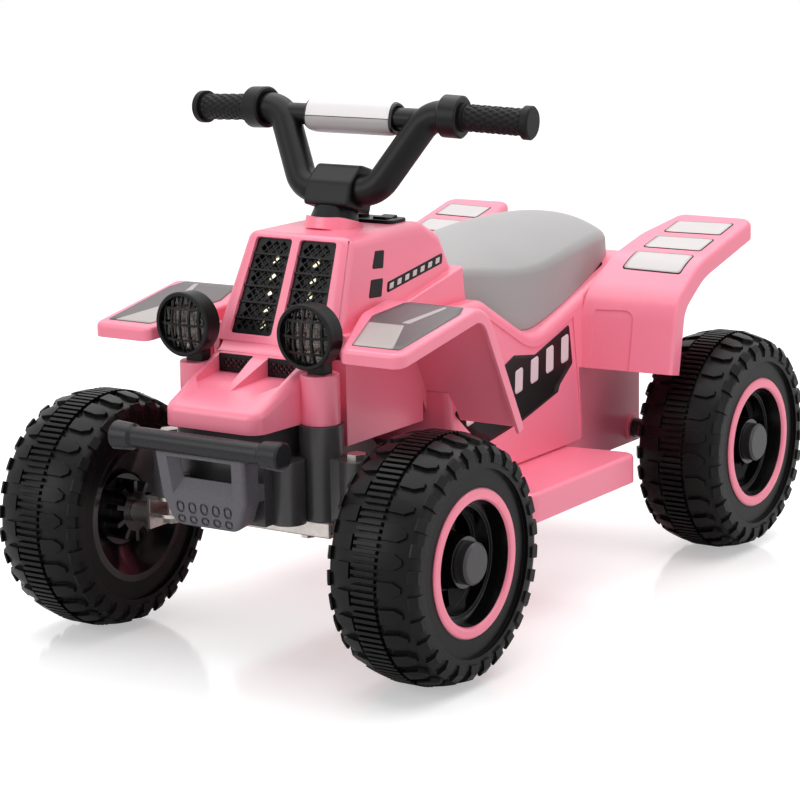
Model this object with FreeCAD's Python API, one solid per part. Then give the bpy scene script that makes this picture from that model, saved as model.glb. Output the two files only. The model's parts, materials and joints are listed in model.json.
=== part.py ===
import FreeCAD, Part
import math
import os

# Battery quad bike for a small child, as separate mouldings and steel parts.
# Millimetres. Front is -Y, the rider's left is +X, +Z is up.
# The origin is on the ground, midway between the two axles.

Vec = FreeCAD.Vector

# Layout
WHEELBASE = 484.0
TRACK = 332.0
TYRE_RADIUS = 100.0
WALL = 3.0
FIT = 0.3
RUN = 0.05
OVERRUN = 6.0

# Tyre
TYRE_WIDTH = 80.0
TYRE_WALL = 4.0
BEAD_RADIUS = 60.0
LUG_HEIGHT = 3.5
SIDEWALL_STEP = 3.5
SIDEWALL_RADIUS = 74.5
SHOULDER_RADIUS = 90.5
SHOULDER_DROP = 11.5
SHOULDER_HALF = 33.0
LUG_COUNT = 28
RIBS_PER_LUG = 4
RIB_SHARE = 0.52
BELT_HALF = 10.5
PADDLE_ROOT = 13.0
PADDLE_TIP = 31.0
PADDLE_WIDTH_SHARE = 0.56
SHOULDER_LUG_SHARE = 0.5
SHOULDER_LUG_PROUD = 1.5

# Wheel rim, trim ring and hub cap
AXLE_RADIUS = 5.0
RING_OUTER = 58.7
RING_INNER = 49.6
RING_DEPTH = 2.7
DISH_DEPTH = 26.0
DISH_FLOOR_RADIUS = 43.0
DISH_STEP = 3.0
HUB_RADIUS = 20.5
HUB_TUBE_RADIUS = 17.0
HUB_FACE = 29.0
HUB_BACK = 34.0
INNER_DISH_DEPTH = 17.0
INNER_DISH_RADIUS = 30.0
DOG_COUNT = 10
DOG_WIDTH = 4.0
WINDOW_COUNT = 5
WINDOW_INNER = 25.0
WINDOW_OUTER = 39.0
WINDOW_ANGLE = 42.0
CAP_RADIUS = 17.0
CAP_LENGTH = 11.0
CAP_WALL = 2.0
CAP_SEAT = 3.0
NUT_RADIUS = 8.5
NUT_HEIGHT = 5.0
AXLE_PAST_NUT = 1.0

# Front axle: housing, beam, kingpins and knuckles
KINGPIN_X = 94.0
KINGPIN_RADIUS = 4.0
KINGPIN_HEAD_RADIUS = 8.0
KINGPIN_HEAD = 5.0
KINGPIN_BOSS_RADIUS = 14.0
KINGPIN_BOSS_TOP = 170.0
HOUSING_BOTTOM = 119.0
HOUSING_TOP = 170.0
HOUSING_HALF = 40.0
HOUSING_FRONT = -292.0
HOUSING_TAIL_TOP = 150.0
HOUSING_STEP_Y = -150.0
COLUMN_POST_RADIUS = 18.0
FLUTE_X = 47.0
FLUTE_Y = -270.0
FLUTE_RADIUS = 14.0
WEB_HALF = 10.0
BEAM_HALF = 76.0
BEAM_WIDTH = 30.0
BEAM_HEIGHT = 13.0
STEEL = 3.0
BEAM_BOLT_X = 45.0
BEAM_BOLT_RADIUS = 3.0
BEAM_NUT_RADIUS = 6.0
BEAM_NUT_HEIGHT = 5.0
LUG_RADIUS = 13.0
KNUCKLE_WIDTH = 24.0
KNUCKLE_BOTTOM = 90.0
KNUCKLE_LOWER_LUG = 101.0
STUB_COLLAR_RADIUS = 9.0
PIN_RADIUS = 3.0
PIN_HEAD_RADIUS = 5.0
PIN_HEAD = 2.5
ARM_WIDTH = 14.0
TIE_WIDTH = 14.0
CRANK_CLEARANCE = 0.9

# Steering column and handlebar
STEER_Y = -130.0
STEER_Z = 345.0
RAKE = 18.0
COLUMN_RADIUS = 5.0
CRANK_REACH = 45.0
CRANK_Z = 108.0
CRANK_THICK = 4.0
BUSH_RADIUS = 9.0
SLEEVE_RADIUS = 21.0
SLEEVE_BOTTOM = -8.0
CLAMP_BOTTOM = 4.0
CLAMP_TOP = 41.0
CLAMP_HALF = 22.0
CLAMP_DEPTH = 17.5
CLAMP_ROUND = 8.0
BAR_RADIUS = 12.8
BAR_LOW = 20.5
BAR_LOW_X = 36.0
BAR_HIGH = 87.0
BAR_HIGH_X = 74.0
BAR_BACK = 4.6
BAR_BEND = 23.0
BAR_WALL = 2.5
GRIP_END_X = 167.5
GRIP_END_HIGH = 86.5
GRIP_SWEEP = 13.5
GRIP_RADIUS = 10.5
GRIP_LENGTH = 62.0
GRIP_FLANGE_RADIUS = 13.8
GRIP_FLANGE = 7.0
COLLAR_RADIUS = 17.5
COLLAR_LENGTH = 18.0
COLLAR_X = 96.0
GRIP_CORE_RADIUS = 7.0
CROSSBAR_RADIUS = 9.0
CROSSBAR_HIGH = 83.0
PAD_HALF = 44.0
PAD_HEIGHT = 29.0
PAD_DEPTH = 25.0
PAD_ROUND = 8.0

# Front cowl: tank, grille face and front mudguards
COWL_TOP = 335.0
COWL_TOP_HALF = 52.0
COWL_LEAN_Z = 255.0
COWL_LEAN_HALF = 62.0
COWL_FRONT_TOP = -184.0
COWL_FRONT_LOW = -222.0
COWL_FRONT_LOW_Z = 250.0
COWL_DASH_END = -76.0
COWL_SHOULDER_Y = -52.0
COWL_SHOULDER_Z = 322.0
COWL_REAR_MID_Y = -39.0
COWL_REAR_MID_Z = 292.0
COWL_REAR = -33.0
COWL_REAR_Z = 246.0
COWL_ROUND = 11.0
COWL_FRONT_ROUND = 7.0
BOX_HALF = 66.0
BOX_FRONT = -214.0
BOX_BACK = -104.0
BOX_BOTTOM = 172.0
RIDGE_FRONT_Z = 262.0
RIDGE_FRONT_Y = -190.0
RIDGE_REAR_Z = 293.0
RIDGE_ROUND = 2.0
BOSS_RADIUS = 24.0
BOSS_HEIGHT = 5.0
WINDOW_TOP_OUT = 40.0
WINDOW_LOW_OUT = 46.0
WINDOW_GAP = 3.8
WINDOW_TOP_Z = 331.0
WINDOW_LOW_Z = 256.0
GRILLE_THICK = 2.0
GRILLE_RIM = 2.2
GRILLE_PITCH = 7.5
GRILLE_BAR = 1.1
TIER_COUNT = 6
TIER_DEPTH = 3.0
TIER_HEIGHT = 1.6
LIGHT_X = 19.8
LIGHT_RADIUS = 2.0

# Front mudguards
GUARD_FRONT = -264.0
GUARD_FRONT_Z = 262.0
GUARD_BEND_Y = -140.0
GUARD_BEND_Z = 284.0
GUARD_BACK = -83.0
GUARD_BACK_Z = 173.0
GUARD_BEND_ROUND = 26.0
GUARD_OUTER = 153.0
GUARD_FRONT_INNER = 96.0
GUARD_ROOT_Y = -192.0
GUARD_LIP = 11.0
GUARD_CORNER = 9.0
GUARD_ROUND = 4.0

# Nose cowl and lamps
NOSE_REAR = -238.0
NOSE_REAR_Z = 243.0
NOSE_FRONT = -309.0
NOSE_FRONT_Z = 212.0
NOSE_BOTTOM = 196.0
NOSE_REAR_HALF = 52.0
NOSE_FRONT_HALF = 47.0
NOSE_CORNER = 13.0
NOSE_ROUND = 8.0
SCOOP_INNER = 8.0
SCOOP_OUTER = 41.0
SCOOP_TIP = 2.5
SCOOP_FRONT = -284.0
SCOOP_DROP = 15.0
LAMP_X = 60.5
LAMP_Y = -242.0
LAMP_Z = 268.0
LAMP_RADIUS = 25.5
LAMP_WALL = 2.5
LAMP_FRONT = -258.0
LAMP_BACK = -236.0
LAMP_BACK_RADIUS = 14.0
LAMP_POST_RADIUS = 15.7
LAMP_POST_TOP = 236.0
STALK_WIDTH = 17.0
STALK_DEPTH = 13.0
STALK_ROUND = 2.0
GUARD_BAR = 0.9
GUARD_PROUD = 7.0
GUARD_HOOD = 5.0
GUARD_BARS = 5
GUARD_LEVELS = 3
LENS_THICK = 2.0
BULB_RADIUS = 5.0

# Bumper
BUMPER_Y = -323.0
BUMPER_Z = 187.0
BUMPER_RADIUS = 8.5
BUMPER_HALF = 62.0
BUMPER_END_RADIUS = 11.6
BUMPER_END = 21.0
PLATE_TOP_HALF = 45.0
PLATE_MID_HALF = 42.0
PLATE_MID_DOWN = 46.0
PLATE_LOW_HALF = 32.0
PLATE_LOW_Y = -314.0
PLATE_LOW_Z = 118.0
PLATE_AHEAD = 2.0
PLATE_DEPTH = 18.0
PLATE_CORNER = 13.0
PLATE_ROUND = 4.0
PLATE_WINDOW_HALF = 32.0
PLATE_WINDOW_TAPER = 2.5
PLATE_WINDOW_TOP = 11.5
PLATE_WINDOW_LOW = 43.0
PLATE_WINDOW_DEPTH = 9.0
PLATE_SILL = 12.0
PLATE_JAMB = 6.0
DIMPLE_WIDTH = 8.0
DIMPLE_GROOVE = 1.8
DIMPLE_DEPTH = 1.6
DIMPLE_PITCH = 11.7
DIMPLE_COUNT = 5
DIMPLE_HEIGHTS = (10.0, 7.0)
DIMPLE_DOWNS = (53.0, 63.0)

# Main body, seat rim and rear mudguards
BODY_FRONT = -98.0
BODY_BOTTOM = 117.0
BODY_LOW_HALF = 95.0
BODY_TOP_HALF = 83.0
BODY_UNDER_COWL = 242.0
RIM_FRONT_Z = 264.0
RIM_DIP_Y = 42.0
RIM_DIP_Z = 220.0
RIM_DIP_ROUND = 55.0
RIM_REAR_Y = 206.0
RIM_REAR_Z = 268.0
BODY_REAR = 268.0
BODY_REAR_Z = 181.0
SIDE_BACK = 110.0
BODY_ROUND = 9.0
SEAT_LEDGE = 11.0
SEAT_LIP = 12.0
PANEL_RECESS = 1.2
ARCH_INNER = 86.0
ARCH_OUTER = 168.0
ARCH_INNER_LIFT = 4.0
ARCH_INNER_AHEAD = 24.0
ARCH_FOOT_Y = 140.0
ARCH_FOOT_Z = 177.0
ARCH_KNEE_Y = 152.0
ARCH_KNEE_Z = 241.0
ARCH_BEND_Y = 196.0
ARCH_BEND_Z = 270.0
ARCH_TAIL_Y = 306.0
ARCH_TAIL_Z = 297.0
ARCH_TAIL_INNER_Y = 297.0
ARCH_TAIL_INNER = 94.0
ARCH_KNEE_ROUND = 40.0
ARCH_BEND_ROUND = 90.0
ARCH_LIP = 16.0
ARCH_CORNER = 12.0
ARCH_ROUND = 5.0
ARCH_PANEL_INNER = 97.0
ARCH_PANEL_OUTER = 131.0
ARCH_PANEL_TOP = 232.0
ARCH_PANEL_CORNER = 9.0

# Seat
SEAT_FRONT = -30.0
SEAT_STATION_SHARES = (0.0, 0.12, 0.3, 0.52, 0.74, 0.9, 1.0)
SEAT_BACK = 236.0
SEAT_HALF = 78.0
SEAT_HALF_SHARES = (0.70, 0.82, 0.95, 1.0, 0.95, 0.83, 0.56)
SEAT_CROWN = 310.0
SEAT_CROWN_DROP = 15.0
SEAT_CROWN_DROP_SHARES = (0.6, 0.33, 0.17, 0.0, 0.03, 0.33, 1.0)
SEAT_CREASE_DROP = 31.0
SEAT_CREASE_SHARES = (0.55, 0.74, 1.0, 0.9, 0.68, 0.55, 0.58)
SEAT_SKIRT = 95.0
SEAT_SIDE_FLARE = 3.0
SEAT_ROUND = 13.0
SEAT_BACK_ROUND = 14.0

# Lower chassis and footboards
BOARD_TOP = 115.0
BOARD_BOTTOM = 90.0
BOARD_OUTER = 160.0
BOARD_FRONT = -100.0
BOARD_BACK = 97.0
BOARD_BACK_INNER = 88.0
BOARD_CORNER = 26.0
BOARD_REAR_CORNER = 12.0
BOARD_ROUND = 4.0
BOARD_RIBS = 4
PAN_HALF = 91.0
REAR_BOX_HALF = 72.0
REAR_BOX_FRONT = 113.0
REAR_BOX_BACK = 264.0
REAR_BOX_BOTTOM = 86.0
REAR_BOX_ROUND = 10.0
AXLE_BOSS_RADIUS = 12.0

# Drive, battery and controls
GEARBOX_LENGTH = 92.0
GEARBOX_HEIGHT = 62.0
GEARBOX_WIDTH = 40.0
GEARBOX_ROUND = 14.0
MOTOR_RADIUS = 15.0
MOTOR_LENGTH = 44.0
MOTOR_AHEAD = 62.0
DRIVE_DOG_RADIUS = 26.0
COUPLER_RADIUS = 13.0
BATTERY_LENGTH = 100.0
BATTERY_WIDTH = 47.0
BATTERY_HEIGHT = 70.0
BATTERY_Y = 30.0
CONTROL_LENGTH = 60.0
CONTROL_WIDTH = 40.0
CONTROL_HEIGHT = 22.0
PEDAL_X = -128.0
PEDAL_WIDTH = 44.0
PEDAL_LENGTH = 78.0
PEDAL_HINGE_Y = 0.0
PEDAL_HEEL = 6.0
PEDAL_TOE = 15.0
PEDAL_LIFT = 3.0
PEDAL_EAR = 5.0
PEDAL_PIN_RADIUS = 2.5
PEDAL_RIBS = 6
PEDAL_RIB_WIDTH = 4.0
PEDAL_RIB_HEIGHT = 1.2
DASH_HALF = 38.0
DASH_FRONT = -104.0
DASH_BACK = -79.0
DASH_THICK = 3.0
DASH_CORNER = 6.0
ROCKER_X = 23.0
ROCKER_LENGTH = 19.0
ROCKER_WIDTH = 13.0
ROCKER_HEIGHT = 4.0
BUTTON_RADIUS = 6.0
BUTTON_PROUD = 3.0
BUTTON_TRAVEL = 1.5
SOCKET_RADIUS = 7.0
SOCKET_LENGTH = 16.0
SOCKET_Y = 60.0

# Places worked out from the sizes above
FRONT_Y = -WHEELBASE / 2
REAR_Y = WHEELBASE / 2
AXLE_Z = TYRE_RADIUS
WHEEL_X = TRACK / 2
TREAD_RADIUS = TYRE_RADIUS - LUG_HEIGHT
SIDEWALL_A = TYRE_WIDTH / 2 - SIDEWALL_STEP
HOUSING_BACK = BODY_FRONT - FIT
CONTROL_Y = BATTERY_Y - BATTERY_LENGTH / 2 - 2 * WALL - CONTROL_LENGTH / 2
AXLE_END = HUB_FACE - CAP_SEAT + STEEL + NUT_HEIGHT + AXLE_PAST_NUT
TIE_Z = KNUCKLE_LOWER_LUG - FIT - STEEL / 2
TIE_REACH = CRANK_REACH + (CRANK_Z - TIE_Z) * math.tan(math.radians(RAKE))
KNUCKLE_ARM = TIE_REACH * math.cos(math.radians(RAKE))
AXIS_UP = Vec(0, math.sin(math.radians(RAKE)), math.cos(math.radians(RAKE)))
AXIS_BACK = Vec(0, AXIS_UP.z, -AXIS_UP.y)
STEER = Vec(0, STEER_Y, STEER_Z)
X_AXIS = Vec(1, 0, 0)
Z_AXIS = Vec(0, 0, 1)
FULL_TURN = 360.0


def on_side(points, x=0):
    """Points given as (y, z) in the plane at one x."""
    return [Vec(x, y, z) for y, z in points]


def on_plan(points, z=0):
    """Points given as (x, y) in the plane at one z."""
    return [Vec(x, y, z) for x, y in points]


def on_front(points, y=0):
    """Points given as (x, z) in the plane at one y."""
    return [Vec(x, y, z) for x, z in points]


def on_wheel(points):
    """Points given as (along the axle, radius) in a wheel's own frame."""
    return [Vec(a, 0, r) for a, r in points]


def outline(points, radii=0):
    """Closed wire through the points, each corner rounded by its radius."""
    count = len(points)
    if not isinstance(radii, (list, tuple)):
        radii = [radii] * count
    starts, ends, arcs = [], [], []
    for i, corner in enumerate(points):
        if radii[i] == 0:
            starts.append(corner)
            ends.append(corner)
            arcs.append(None)
            continue
        back = (points[i - 1] - corner).normalize()
        ahead = (points[(i + 1) % count] - corner).normalize()
        half = back.getAngle(ahead) / 2
        reach = radii[i] / math.tan(half)
        centre = corner + (back + ahead).normalize() * (radii[i] / math.sin(half))
        middle = centre + (corner - centre).normalize() * radii[i]
        starts.append(corner + back * reach)
        ends.append(corner + ahead * reach)
        arcs.append(middle)
    edges = []
    for i in range(count):
        if arcs[i] is not None:
            edges.append(Part.Arc(starts[i], arcs[i], ends[i]).toShape())
        following = starts[(i + 1) % count]
        if not ends[i].isEqual(following, FIT / 1000):
            edges.append(Part.LineSegment(ends[i], following).toShape())
    return Part.Wire(edges)


def prism(points, radii, vector):
    """Solid swept from a flat rounded outline along a vector."""
    return Part.Face(outline(points, radii)).extrude(vector)


def across(points, radii, low, high):
    """Solid with a side outline in (y, z), from x = low to x = high."""
    return prism(on_side(points, low), radii, Vec(high - low, 0, 0))


def upward(points, radii, low, high):
    """Solid with a plan outline in (x, y), from z = low to z = high."""
    return prism(on_plan(points, low), radii, Vec(0, 0, high - low))


def along(points, radii, low, high):
    """Solid with a front outline in (x, z), from y = low to y = high."""
    return prism(on_front(points, low), radii, Vec(0, high - low, 0))


def block(low, high):
    """Box between two corners."""
    size = high.sub(low)
    return Part.makeBox(size.x, size.y, size.z, low)


def rod(start, end, radius):
    """Round bar between two points."""
    return Part.makeCylinder(radius, (end - start).Length, start, end - start)


def tube(start, end, radius, bore):
    """Round tube between two points."""
    return rod(start, end, radius).cut(rod(start, end, bore))


def turned(points, angle=FULL_TURN, radii=0):
    """Solid turned about the wheel axle from a section in (along, radius)."""
    return Part.Face(outline(on_wheel(points), radii)).revolve(Vec(), X_AXIS, angle)


def hexagon(start, axis, radius, height):
    """Hexagon nut or bolt head."""
    side = Vec(axis.z, axis.x, axis.y)
    corners = []
    for i in range(6):
        corner = FreeCAD.Rotation(axis, i * FULL_TURN / 6).multVec(side * radius)
        corners.append(start + corner)
    return prism(corners, 0, axis * height)


def fused(*shapes):
    """One solid from several that overlap or meet."""
    return shapes[0].multiFuse(list(shapes[1:])).removeSplitter()


def mirrored(shape):
    """The same piece on the other side of the bike."""
    return shape.mirror(Vec(), X_AXIS)


def both_sides(shape):
    """The piece with its twin on the other side."""
    return Part.makeCompound([shape, mirrored(shape)])


def inset(points, distance):
    """Closed outline moved inwards by a distance, with mitred corners."""
    moved = []
    area = sum(p[0] * q[1] - q[0] * p[1] for p, q in zip(points, points[1:] + points[:1]))
    turn = math.copysign(1, area)
    for i, corner in enumerate(points):
        before = points[i - 1]
        after = points[(i + 1) % len(points)]
        moved.append(mitre(before, corner, after, distance * turn))
    return moved


def mitre(before, corner, after, distance):
    """Corner of a path moved to its left by a distance, on both its runs."""
    length_in = math.hypot(corner[0] - before[0], corner[1] - before[1])
    length_out = math.hypot(after[0] - corner[0], after[1] - corner[1])
    into = ((corner[0] - before[0]) / length_in, (corner[1] - before[1]) / length_in)
    out = ((after[0] - corner[0]) / length_out, (after[1] - corner[1]) / length_out)
    normal = (-into[1] - out[1], into[0] + out[0])
    reach = distance / (1 + into[0] * out[0] + into[1] * out[1])
    return (corner[0] + normal[0] * reach, corner[1] + normal[1] * reach)


def beside(path, distance):
    """Open path moved to its left by a distance, ends square to their runs."""
    first, second = path[0], path[1]
    last, previous = path[-1], path[-2]
    before = (2 * first[0] - second[0], 2 * first[1] - second[1])
    after = (2 * last[0] - previous[0], 2 * last[1] - previous[1])
    ring = [before] + list(path) + [after]
    return [mitre(ring[i - 1], ring[i], ring[i + 1], distance) for i in range(1, len(ring) - 1)]


def edges_where(shape, test):
    """Edges whose middle point passes a test."""
    found = []
    for edge in shape.Edges:
        middle = edge.valueAt((edge.FirstParameter + edge.LastParameter) / 2)
        if test(middle):
            found.append(edge)
    return found


def steer_point(x, high, back=0):
    """Point given across, up and behind the steering axis."""
    return STEER + X_AXIS * x + AXIS_UP * high + AXIS_BACK * back


def axis_at(z):
    """Point of the steering axis at a height."""
    return STEER + AXIS_UP * ((z - STEER.z) / AXIS_UP.z)


def bent_tube(points, bends, radius, bore):
    """Round tube along straight runs joined by tangent arcs."""
    edges = []
    last = points[0]
    for i in range(1, len(points) - 1):
        back = (points[i - 1] - points[i]).normalize()
        ahead = (points[i + 1] - points[i]).normalize()
        half = back.getAngle(ahead) / 2
        reach = bends / math.tan(half)
        centre = points[i] + (back + ahead).normalize() * (bends / math.sin(half))
        middle = centre + (points[i] - centre).normalize() * bends
        enter = points[i] + back * reach
        leave = points[i] + ahead * reach
        edges.append(Part.LineSegment(last, enter).toShape())
        edges.append(Part.Arc(enter, middle, leave).toShape())
        last = leave
    edges.append(Part.LineSegment(last, points[-1]).toShape())
    path = Part.Wire(edges)
    start = points[0]
    heading = points[1] - points[0]
    skins = []
    for size in (radius, bore):
        ring = Part.Wire([Part.Circle(start, heading, size).toShape()])
        skins.append(path.makePipeShell([ring], True, False))
    return skins[0].cut(skins[1])


# Wheels


def tread_arc(offset):
    """End, middle and end of the crown curve, moved out by an offset."""
    return [
        Vec(-SHOULDER_HALF, 0, SHOULDER_RADIUS + offset),
        Vec(0, 0, TREAD_RADIUS + offset),
        Vec(SHOULDER_HALF, 0, SHOULDER_RADIUS + offset),
    ]


def carcass_shell(inside):
    """Tyre body: crown and shoulder curves down to flat sidewalls."""
    half = TYRE_WIDTH / 2 - inside
    flat = SIDEWALL_A - inside
    bead = BEAD_RADIUS + inside
    step = SIDEWALL_RADIUS + inside / 2
    left, crown, right = tread_arc(-inside)
    low = SHOULDER_RADIUS - SHOULDER_DROP
    mid_a = SHOULDER_HALF + (half - SHOULDER_HALF) * math.sin(math.pi / 4)
    mid_r = low + (right.z - low) * math.sin(math.pi / 4)
    edges = [Part.Arc(left, crown, right).toShape()]
    edges.append(Part.Arc(right, Vec(mid_a, 0, mid_r), Vec(half, 0, low)).toShape())
    side = on_wheel([(half, low), (half, step), (flat, step), (flat, bead)])
    side += on_wheel([(-flat, bead), (-flat, step), (-half, step), (-half, low)])
    for start, end in zip(side, side[1:]):
        edges.append(Part.LineSegment(start, end).toShape())
    edges.append(Part.Arc(Vec(-half, 0, low), Vec(-mid_a, 0, mid_r), left).toShape())
    return Part.Face(Part.Wire(edges)).revolve(Vec(), X_AXIS, FULL_TURN)


def tread_band(low, high):
    """Ring between two crown curves, in which the paddle lugs lie."""
    inner = tread_arc(low)
    outer = tread_arc(high)
    edges = [
        Part.Arc(*inner).toShape(),
        Part.LineSegment(inner[2], outer[2]).toShape(),
        Part.Arc(outer[2], outer[1], outer[0]).toShape(),
        Part.LineSegment(outer[0], inner[0]).toShape(),
    ]
    return Part.Face(Part.Wire(edges)).revolve(Vec(), X_AXIS, FULL_TURN)


def round_the_wheel(shape, count, shift=0):
    """Copies of a piece at even steps round the axle."""
    copies = []
    for i in range(count):
        copy = shape.copy()
        copy.rotate(Vec(), X_AXIS, (i + shift) * FULL_TURN / count)
        copies.append(copy)
    return copies


def tyre():
    """Hollow blow-moulded tyre with ribbed belt, paddle lugs and shoulder lugs."""
    pitch = 2 * math.pi * TREAD_RADIUS / LUG_COUNT
    half_width = pitch * PADDLE_WIDTH_SHARE / 2
    nose = (PADDLE_TIP - PADDLE_ROOT) / 3
    paddle = [
        (PADDLE_ROOT, -half_width),
        (PADDLE_TIP - nose, -half_width),
        (PADDLE_TIP, -half_width / 3),
        (PADDLE_TIP, half_width / 3),
        (PADDLE_TIP - nose, half_width),
        (PADDLE_ROOT, half_width),
    ]
    below = SHOULDER_RADIUS - 2 * TYRE_WALL
    right = upward(paddle, 0, below, TYRE_RADIUS + LUG_HEIGHT)
    left = right.copy()
    left.rotate(Vec(), Z_AXIS, FULL_TURN / 2)
    left.rotate(Vec(), X_AXIS, FULL_TURN / LUG_COUNT / 2)
    prisms = round_the_wheel(right, LUG_COUNT) + round_the_wheel(left, LUG_COUNT)
    band = tread_band(-TYRE_WALL / 2, LUG_HEIGHT)
    lugs = band.common(Part.makeCompound(prisms)).Solids

    edge = TYRE_WIDTH / 2
    low = SHOULDER_RADIUS - SHOULDER_DROP
    section = [
        (edge - TYRE_WALL / 2, low),
        (edge + SHOULDER_LUG_PROUD, low),
        (edge + SHOULDER_LUG_PROUD, (low + SHOULDER_RADIUS) / 2 + SHOULDER_LUG_PROUD),
        (SHOULDER_HALF + TYRE_WALL, SHOULDER_RADIUS + SHOULDER_LUG_PROUD),
        (SHOULDER_HALF + TYRE_WALL / 2, SHOULDER_RADIUS + SHOULDER_LUG_PROUD),
        (SHOULDER_HALF + TYRE_WALL / 2, SHOULDER_RADIUS - TYRE_WALL / 2),
    ]
    sweep = FULL_TURN / LUG_COUNT * SHOULDER_LUG_SHARE
    outer = turned(section, sweep)
    outer.rotate(Vec(), X_AXIS, -sweep / 2)
    inner = outer.copy()
    inner.rotate(Vec(), Z_AXIS, FULL_TURN / 2)
    lugs += round_the_wheel(outer, LUG_COUNT, 1 / 2) + round_the_wheel(inner, LUG_COUNT)

    rib_step = FULL_TURN / LUG_COUNT / RIBS_PER_LUG
    foot = TREAD_RADIUS - TYRE_WALL / 2
    rib_section = [(-BELT_HALF, foot), (BELT_HALF, foot), (BELT_HALF, TYRE_RADIUS), (-BELT_HALF, TYRE_RADIUS)]
    rib = turned(rib_section, rib_step * RIB_SHARE)
    rib.rotate(Vec(), X_AXIS, -rib_step * RIB_SHARE / 2)
    lugs += round_the_wheel(rib, LUG_COUNT * RIBS_PER_LUG)
    solid = carcass_shell(0).multiFuse(lugs)
    return solid.cut(carcass_shell(TYRE_WALL))


def rim():
    """Gloss dish with stepped wall, windows, hub and a ribbed back."""
    face = SIDEWALL_A
    floor = face - DISH_DEPTH
    barrel = BEAD_RADIUS - FIT
    bore = AXLE_RADIUS + RUN
    back = -SIDEWALL_A
    inner_floor = back + INNER_DISH_DEPTH
    inner_lip = barrel - 2 * WALL
    step_a = floor + DISH_DEPTH / 2
    body = turned([
        (HUB_FACE, bore),
        (HUB_FACE, HUB_RADIUS),
        (floor, HUB_RADIUS + DISH_STEP),
        (floor, DISH_FLOOR_RADIUS),
        (step_a, DISH_FLOOR_RADIUS),
        (step_a, RING_INNER - DISH_STEP),
        (face, RING_INNER),
        (face, barrel),
        (back, barrel),
        (back, inner_lip),
        (inner_floor, INNER_DISH_RADIUS),
        (inner_floor, HUB_TUBE_RADIUS),
        (-HUB_BACK, HUB_TUBE_RADIUS),
        (-HUB_BACK, bore),
    ])
    hollow = turned([
        (floor - WALL, HUB_TUBE_RADIUS),
        (floor - WALL, DISH_FLOOR_RADIUS + WALL),
        (step_a - WALL, DISH_FLOOR_RADIUS + WALL),
        (step_a - WALL, RING_INNER),
        (face - WALL, RING_INNER + WALL),
        (face - WALL, barrel - WALL),
        (back + WALL, barrel - WALL),
        (back + WALL, inner_lip + WALL / 2),
        (inner_floor + WALL, INNER_DISH_RADIUS),
        (inner_floor + WALL, HUB_TUBE_RADIUS),
    ])
    window = turned(
        [
            (floor - 2 * WALL, WINDOW_INNER),
            (floor + WALL, WINDOW_INNER),
            (floor + WALL, WINDOW_OUTER),
            (floor - 2 * WALL, WINDOW_OUTER),
        ],
        WINDOW_ANGLE,
    )
    seat = rod(Vec(HUB_FACE - CAP_SEAT, 0, 0), Vec(HUB_FACE + OVERRUN, 0, 0), CAP_RADIUS + RUN)
    dog = block(
        Vec(-HUB_BACK, -DOG_WIDTH / 2, HUB_TUBE_RADIUS - WALL),
        Vec(inner_floor + WALL / 2, DOG_WIDTH / 2, DRIVE_DOG_RADIUS),
    )
    cuts = [hollow, seat] + round_the_wheel(window, WINDOW_COUNT)
    return fused(body.cut(cuts), *round_the_wheel(dog, DOG_COUNT))


def trim_ring():
    """Coloured ring with a bevelled inner edge, seated on the rim's face."""
    face = SIDEWALL_A
    width = RING_OUTER - RING_INNER
    return turned([
        (face, RING_INNER),
        (face + RING_DEPTH * 3 / 4, RING_INNER + width / 8),
        (face + RING_DEPTH, RING_INNER + width * 3 / 8),
        (face + RING_DEPTH * 3 / 4, RING_OUTER - width / 8),
        (face + RING_DEPTH / 3, RING_OUTER),
        (face, RING_OUTER),
    ])


def hub_cap():
    """Cup that covers the axle nut."""
    start = HUB_FACE - CAP_SEAT
    end = start + CAP_LENGTH + CAP_WALL
    bevel = CAP_WALL
    return turned([
        (start, CAP_RADIUS - CAP_WALL),
        (start, CAP_RADIUS),
        (end - bevel, CAP_RADIUS),
        (end, CAP_RADIUS - bevel),
        (end, 0),
        (end - CAP_WALL, 0),
        (end - CAP_WALL, CAP_RADIUS - CAP_WALL),
    ])


def axle_nut():
    """Washer and nut at the end of an axle, in the wheel's own frame."""
    bore = AXLE_RADIUS + RUN
    start = HUB_FACE - CAP_SEAT + FIT
    washer = tube(Vec(start, 0, 0), Vec(start + STEEL / 2, 0, 0), NUT_RADIUS + STEEL, bore)
    nut = hexagon(Vec(start + STEEL / 2, 0, 0), X_AXIS, NUT_RADIUS, NUT_HEIGHT)
    nut = nut.cut(rod(Vec(start, 0, 0), Vec(start + NUT_HEIGHT + OVERRUN, 0, 0), bore))
    return fused(washer, nut)


def placed_wheel(shape, side, y):
    """A wheel piece moved to its corner; side is 1 on the left and -1 on the right."""
    copy = shape.copy()
    if side < 0:
        copy.rotate(Vec(), Z_AXIS, FULL_TURN / 2)
    copy.translate(Vec(side * WHEEL_X, y, AXLE_Z))
    return copy


# Front axle


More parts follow.
